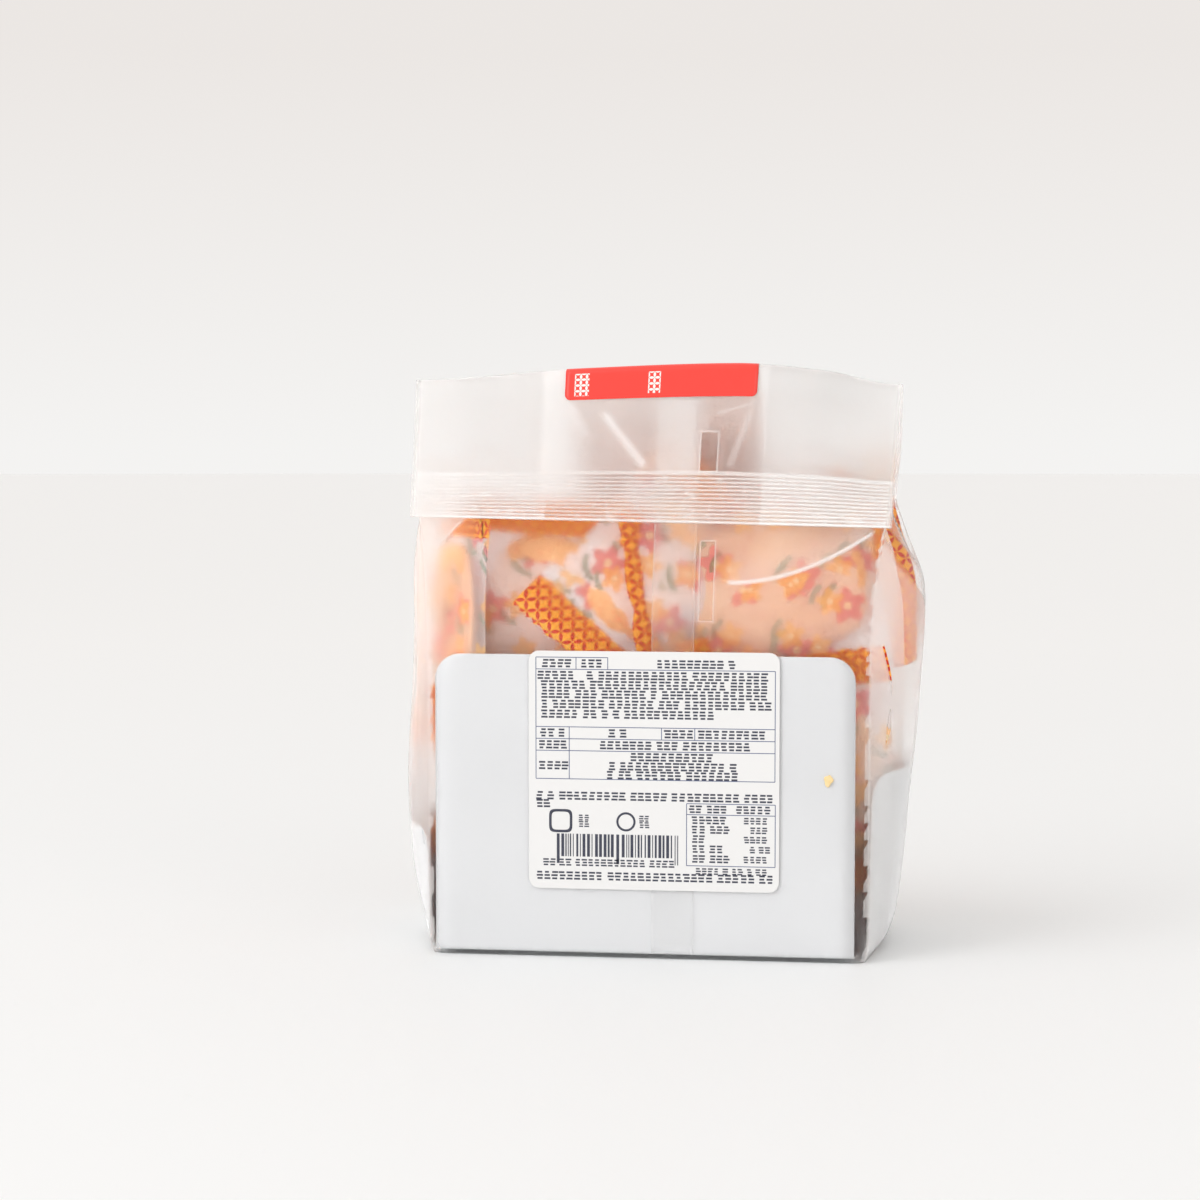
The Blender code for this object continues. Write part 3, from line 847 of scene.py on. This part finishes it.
def makeCardWing(side, top, material):
    # a wing folded up from the base, that follows the bag's side just inside the film: its top edge is a rounded
    # rectangle's, so each row's share of the side's depth shrinks near the top by a quarter circle
    z = np.concatenate([np.linspace(card["bottom z"] + 0.6, top - card["corner"], 16),
                        top - card["corner"] * (1 - np.sin(np.linspace(0, np.pi / 2, 9)[1:]))])
    drawn = np.clip((z - (top - card["corner"])) / card["corner"], 0, 1)
    inset = card["corner"] * (1 - np.sqrt(np.maximum(1 - drawn ** 2, 0))) / (card["front y"] - card["back y"])
    share = np.linspace(0, 1, 25)
    t = card["wing margin"] + inset[:, None] + (1 - 2 * card["wing margin"] - 2 * inset[:, None]) * share
    z = z[:, None] + 0 * t
    back, front = throughKeys(bag["back y"], z), throughKeys(bag["front y"], z)
    reach = sideReach(t, z, side) - card["wing clearance"]
    sign = 1 if side == "right side" else -1
    points = np.stack([sign * reach + bag["body lean"], back + (front - back) * t, z], axis=-1)
    uv = np.stack([t, z / 100], axis=-1)
    if sign < 0:
        points, uv = points[:, ::-1], uv[:, ::-1]
    return pieceFromGrids("card_wing_" + side.split()[0], [(points, uv)], material, node="base_card")


makeCard()
print("card is made")


# labels

ink = {"dark": (0.035, 0.04, 0.07), "line": (0.10, 0.13, 0.25)}
printed = {
    "low x": -31.4,
    "top z": 77.6,
    "face y": -29.552,
    "height": 0.02,
    "mm to a pixel": 0.2502,
}


def labelMaterial():
    paint = Paint("label paper")
    fibres = paint.noise(420.0, 3.0)
    colour = paint.mix((fibres - 0.5) * 0.1 + 0.5, (0.81, 0.81, 0.81), (0.86, 0.86, 0.855))
    return paint.finish(paint.principled(Base_Color=colour, Roughness=0.42, Coat_Weight=0.15, Coat_Roughness=0.3,
                                         Normal=paint.bump(fibres, 0.00002, 0.4)))


def inkMaterial(name, colour):
    paint = Paint(name)
    wear = paint.noise(900.0, 2.0)
    shade = paint.mix(wear * 0.2, colour, tuple(c + 0.10 for c in colour))
    return paint.finish(paint.principled(Base_Color=shade, Roughness=0.5))


def printBox(lowX, topY, highX, bottomY):
    # a rectangle given in label pixels (x right, y down from the label's top left) as a low box on the label's face
    scale = printed["mm to a pixel"]
    x0, x1 = printed["low x"] + lowX * scale, printed["low x"] + highX * scale
    z0, z1 = printed["top z"] - bottomY * scale, printed["top z"] - topY * scale
    return (x0, printed["face y"] - printed["height"], z0, x1, printed["face y"], z1)


def textLine(draw, lowX, highX, y, height):
    # a line of greeked print: small cells, each of three short stacked dashes of random reach
    made, x = [], lowX
    while x < highX - height * 0.6:
        for row in (-0.42, 0.0, 0.42):
            start, end = draw.uniform(0, 0.22), draw.uniform(0.7, 0.95)
            made.append(printBox(x + start * height, y + (row - 0.12) * height,
                                 x + end * height, y + (row + 0.12) * height))
        x += height * (1.0 if draw.uniform() > 0.12 else 1.5)
    return made


def makePrint():
    draw = np.random.default_rng(5)
    rules, words = [], []
    thin = 0.75
    for y in (6, 18, 76, 88, 100, 128.5):
        rules.append(printBox(7, y - thin / 2, 79.6 if y == 6 else 247, y + thin / 2))
    for x, top, bottom in ((7, 6, 128.5), (247, 18, 128.5), (47.6, 6, 18), (79.6, 6, 18), (40.7, 76, 128.5),
                           (133.7, 76, 88), (167, 76, 88)):
        rules.append(printBox(x - thin / 2, top, x + thin / 2, bottom))
    for lowX, highX, y in ((13, 44, 12), (52, 76, 12), (128, 206, 12), (8, 46, 24), (58, 244, 24), (12, 244, 33.5),
                           (12, 244, 43), (12, 244, 53), (12, 190, 63), (11, 37, 82), (80, 96, 82), (136, 165, 82),
                           (170, 242, 82), (9, 38, 94), (71, 222, 94), (102, 186, 105.5), (80, 210, 115),
                           (78, 214, 124), (10, 38, 115), (7, 244, 145.5), (7, 28, 153.5), (7, 244, 226.5)):
        words += textLine(draw, lowX, highX, y, 7.6)
    for y in (151.5, 162.5, 214):  # small table at the lower right
        rules.append(printBox(159, y - thin / 2, 247.5, y + thin / 2))
    for x in (159, 247.5):
        rules.append(printBox(x - thin / 2, 151.5, x + thin / 2, 214))
    words += textLine(draw, 161, 203, 157, 7.0) + textLine(draw, 208, 245, 157, 7.0)
    for y, wide in ((168, 34), (177.5, 38), (187, 14), (197, 30), (207, 36)):
        words += textLine(draw, 164, 164 + wide, y, 7.0)
        words += textLine(draw, 240 - draw.integers(3, 5) * 6.0, 243, y, 6.0)
    words += textLine(draw, 168, 240, 219.5, 6.0) + textLine(draw, 14, 150, 213, 6.5)
    for x in (50, 111):  # short lines beside the two marks
        words += textLine(draw, x, x + 13, 167.5, 5.5) + textLine(draw, x, x + 13, 174, 5.5)
    x, bars = 28.0, []  # a striped field of made-up bars
    while x < 150:
        width = draw.choice([0.9, 1.3, 2.0, 2.9])
        tall = x < 31 or 86 < x < 91 or x > 146
        bars.append(printBox(x, 184, min(x + width, 151), 214 if tall else 207))
        x += width + draw.choice([1.2, 1.7, 2.6])
    boxes("label_rules", rules, inkMaterial("rule ink", ink["line"]))
    boxes("label_words", words, inkMaterial("word ink", ink["dark"]))
    boxes("label_bars", bars, inkMaterial("bar ink", ink["dark"]))


def ringMark(name, centreX, centreY, radius, squareness, width, material):
    # a flat ring on the label: a superellipse outline carried in and out by half its width, closed by a low profile
    angle = np.linspace(0, 2 * np.pi, 73)
    c, si = np.cos(angle), np.sin(angle)
    reach = (abs(c) ** squareness + abs(si) ** squareness) ** (-1 / squareness)
    profile = np.array([[-0.5, 0], [-0.5, 1], [0.5, 1], [0.5, 0], [-0.5, 0]])
    scale = printed["mm to a pixel"]
    radial = (radius + width * profile[:, 0])[:, None] * reach
    points = np.stack([printed["low x"] + (centreX + radial * c) * scale,
                       printed["face y"] - printed["height"] * profile[:, 1][:, None] + 0 * radial,
                       printed["top z"] - (centreY + radial * si) * scale], axis=-1)
    uv = np.zeros(points.shape[:2] + (2,))
    pieceFromGrids(name, [(points, uv)], material, closed=True, merge=0.001)


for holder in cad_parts["back_label"].material_slots:
    holder.material = labelMaterial()
makePrint()
markInk = inkMaterial("mark ink", ink["dark"])
ringMark("mark_square", 32, 171, 10.5, 5.0, 2.6, markInk)
ringMark("mark_round", 98, 171, 8.6, 2.0, 2.2, markInk)
print("back label is made")


# closure label

closure = {
    "low x": -22.8,
    "high x": 25.6,
    "back reach": 159.4,
    "front height": 70.0,
    "corner": 1.5,
    "lift": 0.1,
    "thickness": 0.12,
    "red": (0.93, 0.045, 0.03),
    "pale": (0.95, 0.93, 0.90),
    # the underside's pale pink is raised close to white: painted light that lifts the shade under the label
    "underside": (1.0, 0.85, 0.79),
    # low and high x, low and high path length of the pale fields, in mm
    "stripes": ((-20.4, -16.8, 152.6, 158.4), (-1.8, 1.2, 152.8, 158.2)),
}


def onFront(x, s, lift):
    # a point on the front panel's outer face, x measured from the panel's middle, lifted towards the outside
    height = np.minimum(s, bag["fold height"])
    crease = throughKeys(bag["front crease"], height)
    flat = 1 - smoothStep(136, bag["fold height"], s)
    bow = throughKeys(bag["front bow"], height) * flat * (1 - (x / crease) ** 2)
    points = place(x, sectionFrame(s)[3] + bow, s)
    proud = slack(points, "front", s) + lift
    return points + flapShift(points[..., 0], s) + outward(points) * proud[..., None]


def closureMaterial():
    paint = Paint("red label paper")
    u, v = paint.uv()
    x, s = u * 100, v * 100
    fibres = paint.noise(300.0, 3.0)
    colour = paint.mix(fibres * 0.25, closure["red"], tuple(min(1, c * 1.3 + 0.01) for c in closure["red"]))
    # two narrow fields of pale petals near the back end
    for lowX, highX, lowS, highS in closure["stripes"]:
        field = x.band(lowX, highX, 0.06) * s.band(lowS, highS, 0.06) * petalLattice(x - lowX, s - lowS, 1.5, 0.24)
        colour = paint.mix(field, colour, closure["pale"])
    # on the bag's front: a pale panel with a ring pattern of overlapping circles
    panel = x.band(-15, 19, 0.08) * s.band(82, 122, 0.08)
    petals = petalLattice(x, s, 5.2, 0.2)
    colour = paint.mix(panel * (1 - petals * 0.75), colour, closure["pale"])
    return paint.finish(paint.principled(Base_Color=colour, Roughness=0.38, Coat_Weight=0.25, Coat_Roughness=0.25,
                                         Normal=paint.bump(fibres, 0.00002, 0.5)))


def petalLattice(x, y, pitch, plump):
    # the old pattern of overlapping circles: on each line of a square lattice, between two crossings, lies a petal
    # whose half width is plump * 4 t (1 - t) of the pitch, with t from one crossing to the next
    alongX, alongY = (x / pitch).fraction(), (y / pitch).fraction()
    offX, offY = abs((x / pitch + 0.5).fraction() - 0.5), abs((y / pitch + 0.5).fraction() - 0.5)
    lying = ((alongX * (1 - alongX) * 4 * plump - offY) * 20.0).clamped()
    standing = ((alongY * (1 - alongY) * 4 * plump - offX) * 20.0).clamped()
    return lying.most(standing)


def makeClosureLabel():
    # a strip of grid from its end on the flap, back over the fold and down the front, with round corners at its ends
    r = closure["corner"]
    corner = r * (1 - np.cos(np.linspace(0, np.pi / 2, 7)))
    s = np.concatenate([closure["front height"] + corner, np.linspace(closure["front height"] + r + 1, 146, 58),
                        np.linspace(147, foldEnd, 14), np.linspace(foldEnd + 0.8, closure["back reach"] - r - 0.4, 8),
                        closure["back reach"] - corner[::-1]])
    fromEnd = np.minimum(s - s[0], s[-1] - s)
    middle, half = (closure["low x"] + closure["high x"]) / 2, (closure["high x"] - closure["low x"]) / 2
    half = half - np.where(fromEnd < r, r - np.sqrt(np.maximum(r * r - (r - fromEnd) ** 2, 0)), 0)
    x = middle + half[:, None] * np.linspace(-1, 1, 41)
    s = s[:, None] + 0 * x
    points = onFront(x, s, closure["lift"])
    uv = np.stack([x / 100, s / 100], axis=-1)
    piece = pieceFromGrids("closure_seal", [(points[:, ::-1], uv[:, ::-1])], closureMaterial(), node="closure_label")
    # the underside's near-white pink is painted light, lifting the shade under the label
    paint = Paint("red label underside")
    fibres = paint.noise(300.0, 3.0)
    shade = paint.mix(fibres * 0.3, closure["underside"], tuple(c * 0.92 for c in closure["underside"]))
    piece.data.materials.append(paint.finish(paint.principled(Base_Color=shade, Roughness=0.6)))
    solid = thicken(piece, closure["thickness"], 1.0)
    solid.material_offset = 1


makeClosureLabel()
print("closure label is made")


# packets

packet = {
    "length": 66.0,
    "width": 45.0,
    "thickness": 12.5,
    "end strip": 9.0,
    "print depth": 10.0,
    "zigzag pitch": 2.25,
    "zigzag depth": 1.0,
    "film white": (0.93, 0.91, 0.92),
    "orange": (1.0, 0.47, 0.02),
    "orange paler": (1.0, 0.64, 0.12),
    "petal red": (0.72, 0.05, 0.015),
    "blossom red": (0.80, 0.12, 0.13),
    "blossom yellow": (1.0, 0.55, 0.12),
    "leaf green": (0.16, 0.28, 0.17),
    "print pitch": 2.8,
    "light let through": 0.75,
}


def packetAt(x, y, z, turn, lean=0, roll=0, size=1.0, curls=(0, 0), twist=0, cover=0.42):
    # place in mm; turn in the plane of the back, lean of the length and roll of the width in degrees; how far the
    # first and last strips curl along y, and the last one's twist; how white the wrapper is
    return {"place": (x, y, z), "turn": turn, "lean": lean, "roll": roll, "size": size, "curls": curls,
            "twist": twist, "cover": cover}


packets = [
    packetAt(29.5, -17.5, 93.5, 9, lean=-4, size=1.10, curls=(-12, 13), twist=0.6, cover=0.36),
    packetAt(-2.0, -17.5, 97.5, 48, lean=7, size=0.88, curls=(-12, 2), cover=0.80),
    packetAt(-53.5, -12.0, 82.5, 90, roll=58, curls=(0, -2), cover=0.30),
    packetAt(-30.0, -15.5, 83.0, 86, lean=-2, roll=6, curls=(0, 1.5), cover=0.72),
    packetAt(40.5, -18.0, 46.0, 97, lean=-2, roll=2, size=0.96, curls=(0, -5)),
    packetAt(-24.0, -20.0, 50.0, 8),
    packetAt(9.0, -20.0, 48.0, 92),
    packetAt(-14.0, -19.0, 22.0, 2),
    packetAt(31.5, 9.0, 99.0, 9, lean=2, size=1.06, curls=(0, 3)),
    packetAt(-14.0, 0.0, 80.0, 14, lean=3, roll=3),
    packetAt(-36.0, -2.0, 50.0, 80),
    packetAt(4.0, -3.0, 47.0, 78),
    packetAt(30.0, -3.0, 24.0, 6),
    packetAt(30.0, -3.0, 80.0, 96, lean=3, roll=4, size=0.98),
    packetAt(-24.0, 14.0, 74.0, 82, lean=6),
    packetAt(30.0, 15.0, 38.0, 84),
    packetAt(-20.0, 14.0, 32.0, 4, roll=4),
    packetAt(2.0, 15.0, 43.0, 90, lean=4, size=0.95),
]


def turned(points, turn, lean, roll):
    # turns points about Y, then leans their length and their width towards Y; the angles are in degrees
    a, b, c = (math.radians(v) for v in (turn, lean, roll))
    leanLength = np.array([[math.cos(b), 0, 0], [math.sin(b), 1, 0], [0, 0, 1]])
    leanWidth = np.array([[1, 0, 0], [0, 1, math.sin(c)], [0, 0, math.cos(c)]])
    spin = np.array([[math.cos(a), 0, -math.sin(a)], [0, 1, 0], [math.sin(a), 0, math.cos(a)]])
    return points @ (spin @ leanLength @ leanWidth).T


def kept(points, gap):
    # holds points inside the film: y between the panels, then x within the side's reach at that depth, then z
    points = points.copy()
    points[..., 2] = np.clip(points[..., 2], 2.2, 139)
    z = points[..., 2]
    back, front = throughKeys(bag["back y"], z), throughKeys(bag["front y"], z)
    lowY = back + gap + np.where(z < card["back top"] + 1, card["thickness"] + 0.2, 0)
    highY = front - gap - np.where(z < card["lip top"] + 1, card["thickness"] + 0.2, 0)
    points[..., 1] = np.clip(points[..., 1], lowY, np.maximum(highY, lowY + 0.1))
    t = np.clip((points[..., 1] - back) / (front - back), 0.0, 1.0)
    lean = bag["body lean"] + (bag["ridge lean"] - bag["body lean"]) * smoothStep(80, 147, z)
    byRightWing = np.where(z < card["right wing top"] + 1, card["wing clearance"] + card["thickness"], 0.3)
    byLeftWing = np.where(z < card["left wing top"] + 1, card["wing clearance"] + card["thickness"], 0.3)
    right = sideReach(t, z, "right side") + lean - gap - byRightWing
    left = -sideReach(t, z, "left side") + lean + gap + byLeftWing
    points[..., 0] = np.clip(points[..., 0], left, right)
    return points


def packetSurface(number, size, curls, twist):
    # a pillow: a lens-shaped section carried along the length, pressed flat at both ends, pleated beside the strips
    # and cut in a zigzag; rows run along the length and columns round the section
    length, width = packet["length"] * size, packet["width"] * size
    strip, thick = packet["end strip"], packet["thickness"] * size
    a = np.concatenate([[-1.0, -0.985, -0.97], np.linspace(-0.95, 0.95, 50), [0.97, 0.985, 1.0]]) * length / 2
    angle = np.linspace(0, 2 * np.pi, 73)
    a, angle = np.meshgrid(a, angle, indexing="ij")
    inner = np.clip((length / 2 - abs(a)) - strip, 0, None)
    full = 1 - np.exp(-(inner / 8.5) ** 1.5)
    sign = np.sign(np.sin(angle))
    b = width / 2 * (1 - 0.09 * full) * np.sign(np.cos(angle)) * abs(np.cos(angle)) ** 0.85
    c = sign * abs(np.sin(angle)) ** 0.8 * (0.07 + (thick / 2 - 0.07) * full)
    pleat = np.exp(-((inner - 3.5) / 5.0) ** 2) * (inner > 0) * 0.42
    c = c + sign * abs(np.sin(angle)) * pleat * np.sin(b * 0.95 + number)
    bumpy = ripples(40 + number, 14, 9, 26)
    shapePlace = np.stack([a, b, sign * 6], axis=-1)
    c = c + sign * abs(np.sin(angle)) * full * 0.8 * bumpy(shapePlace)
    saw = abs(((b / packet["zigzag pitch"]) % 1) - 0.5) * 2 * packet["zigzag depth"]
    atEnd = smoothStep(0.955, 1.0, abs(a) / (length / 2))
    a2 = a - np.sign(a) * saw * atEnd
    beyond = np.clip(abs(a2) - (length / 2 - strip - 6), 0, None) / (strip + 6)
    c = c + np.where(a < 0, curls[0], curls[1] * (1 - twist * (b / width + 0.5))) * beyond ** 1.5
    c = c + 0.8 * np.sin(b / 9 + number) * beyond
    points = np.stack([a2, c, b], axis=-1)
    uv = np.stack([a / 100, b / 100 + 0.5 * (sign < 0)], axis=-1)
    return points, uv, length / 2 - abs(a)


def wrapperMaterial():
    paint = Paint("wrapper")
    u, v = paint.uv()
    a, raw = u * 100, v * 100
    outerFace = raw < 25.0
    b = raw - (1 - outerFace) * 50.0
    fromEnd = paint.attribute("from end")
    petals = petalLattice((a + b) * 0.7071, (a - b) * 0.7071, packet["print pitch"], 0.20)
    inPrint = ((packet["print depth"] - fromEnd) * 3.0).clamped()
    cloud = paint.noise(45.0, 1.0)
    orange = paint.mix(cloud * 0.6, packet["orange"], packet["orange paler"])
    stripes = paint.mix(petals, orange, packet["petal red"])
    # five-petalled blossoms, scattered by two Voronoi patterns: the radius swells and shrinks with the angle
    colour, printedOn = packet["film white"], None
    for cell, shift, tint in ((17.0, 3.7, packet["blossom red"]), (13.0, 8.1, packet["blossom yellow"])):
        scattered = paint.node("ShaderNodeCombineXYZ", None,
                               [a / cell, b / cell, paint.attribute("number") * shift])
        middle = paint.node("ShaderNodeTexVoronoi", None,
                            {"Vector": scattered, "Scale": 1.0, "Randomness": 0.75}, output="Position")
        away = paint.node("ShaderNodeVectorMath", {"operation": "SUBTRACT"}, [scattered, middle])
        dx = paint.node("ShaderNodeSeparateXYZ", None, [away])
        dy = Link(paint, dx.socket.node.outputs[1])
        angle = dy.math("ARCTAN2", dx)
        reach = (dx * dx + dy * dy) ** 0.5
        blossom = (((angle * 5.0).math("SINE") * 0.06 + 0.25 - reach) * 22.0).clamped()
        leaf = reach.band(0.32, 0.38, 0.03) * (angle > 1.9)
        colour = paint.mix(blossom * 0.75, colour, tint)
        colour = paint.mix(((0.07 - reach) * 40.0).clamped(), colour, (1.0, 0.85, 0.55))
        colour = paint.mix(leaf * 0.7, colour, packet["leaf green"])
        here = blossom.most(leaf)
        printedOn = here if printedOn is None else printedOn.most(here)
    colour = paint.mix(inPrint, colour, stripes)
    cover = paint.attribute("cover") + (cloud - 0.5) * 0.2
    cover = cover.most(inPrint * 0.95).most(printedOn * 0.7).clamped()
    normal = paint.bump(paint.noise(180.0, 0.0), 0.0001, 0.6)
    gloss = paint.principled(Base_Color=colour, Roughness=0.34, Normal=normal)
    through = paint.node("ShaderNodeBsdfTranslucent", None, {"Color": colour})
    solid = paint.blend(0.38, gloss, through)
    clear = paint.node("ShaderNodeBsdfTransparent", None, {"Color": (0.97, 0.97, 0.97, 1)})
    shadowRay = paint.node("ShaderNodeLightPath", output="Is Shadow Ray")
    light = packet["light let through"]
    passing = paint.node("ShaderNodeBsdfTransparent", None, {"Color": (light, light, light, 1)})
    return paint.finish(paint.blend(shadowRay, paint.blend(cover, clear, solid), passing))


def crackerSurface(number, size):
    # a rounded slab: a superellipse outline and a flatter superellipse section, roughened by fine and broad ripples
    draw = np.random.default_rng(90 + number)
    around, up = np.meshgrid(np.linspace(0, 2 * np.pi, 61), np.linspace(-np.pi / 2, np.pi / 2, 25), indexing="ij")

    def power(value, exponent): return np.sign(value) * abs(value) ** exponent
    lengthways, breadth = draw.uniform(20, 22.5) * size, draw.uniform(14, 16) * size
    a = lengthways * power(np.cos(up), 0.35) * power(np.cos(around), 0.62)
    b = breadth * power(np.cos(up), 0.35) * power(np.sin(around), 0.62)
    c = 3.9 * size * power(np.sin(up), 0.8)
    points = np.stack([a, c, b], axis=-1)
    broad, fine = ripples(200 + number, 10, 12, 30), ripples(300 + number, 24, 2.5, 7)
    away = points / np.linalg.norm(points * np.array([0.2, 1, 0.2]), axis=-1, keepdims=True)
    closeUp = np.cos(up)[..., None] ** 0.2
    points = points + away * 0.16 * closeUp * (1.4 * broad(points) + 1.1 * fine(points))[..., None]
    return points[:, ::-1], np.stack([around / 6.3, up / 3.2], axis=-1)[:, ::-1]


def crackerMaterial():
    paint = Paint("rice cracker")
    broad, fine = paint.noise(60.0, 2.0), paint.noise(420.0, 2.0, roughness=0.7)
    number = paint.attribute("number")
    toast = paint.node("ShaderNodeValToRGB", {"stops": [
        (0.25, (0.62, 0.23, 0.08)), (0.5, (0.84, 0.41, 0.17)), (0.8, (0.94, 0.60, 0.34))]},
        [(broad * 0.7 + fine * 0.3)], output="Color")
    tone = (number * 0.37).fraction()
    colour = paint.mix(tone * 0.35, toast, (0.98, 0.66, 0.36))
    specks = ((paint.noise(700.0, 1.0) - 0.62) * 9.0).clamped()
    colour = paint.mix(specks * 0.7, colour, (0.75, 0.13, 0.05))
    return paint.finish(paint.principled(Base_Color=colour, Roughness=0.5,
                                         Normal=paint.bump(fine + broad, 0.0006, 0.8)))


def makePackets():
    # every packet and its cracker, turned, placed and held inside the film, joined into one piece of each kind
    wrappers, crackers, numbers, covers, ends, crackerNumbers = [], [], [], [], [], []
    for number, one in enumerate(packets):
        placed = [one["turn"], one["lean"], one["roll"]]
        points, uv, fromEnd = packetSurface(number, one["size"], one["curls"], one["twist"])
        wrappers.append((kept(turned(points, *placed) + np.array(one["place"]), 0.35), uv))
        numbers.append(np.full(fromEnd.shape, float(number)))
        covers.append(np.full(fromEnd.shape, one["cover"]))
        ends.append(fromEnd)
        points, uv = crackerSurface(number, one["size"])
        crackers.append((kept(turned(points, *placed) + np.array(one["place"]), 1.0), uv))
        crackerNumbers.append(np.full(uv.shape[:2], float(number)))
    # the film_bag solid stands for the film with all that is in it, so these pieces replace it too
    pieceFromGrids("wrappers", wrappers, wrapperMaterial(), node="film_bag", closed=True,
                   attributes=[("number", numbers), ("cover", covers), ("from end", ends)], sharp=75)
    pieceFromGrids("crackers", crackers, crackerMaterial(), node="film_bag", closed=True,
                   attributes=[("number", crackerNumbers)])


makePackets()
print("packets and crackers are made")


# crumb

def makeCrumb():
    # a sphere grid squashed flat and pushed in and out by ripples
    up, around = np.meshgrid(np.linspace(-np.pi / 2, np.pi / 2, 17), np.linspace(0, 2 * np.pi, 25), indexing="ij")
    points = np.stack([1.1 * np.cos(up) * np.cos(around), 0.35 * np.sin(up), 1.6 * np.cos(up) * np.sin(around)], -1)
    points = points * (1 + 0.3 * ripples(7, 10, 1.0, 3.0)(points))[..., None]
    tilt = math.radians(-18)
    spin = np.array([[math.cos(tilt), 0, -math.sin(tilt)], [0, 1, 0], [math.sin(tilt), 0, math.cos(tilt)]])
    points = points @ spin.T + np.array([43.6, -29.35, 46.0])
    paint = Paint("crumb")
    colour = paint.mix(paint.noise(900.0, 3.0), (0.95, 0.62, 0.22), (0.98, 0.80, 0.48))
    material = paint.finish(paint.principled(Base_Color=colour, Roughness=0.55))
    pieceFromGrids("crumb", [(points, np.zeros(points.shape[:2] + (2,)))], material, closed=True)


makeCrumb()
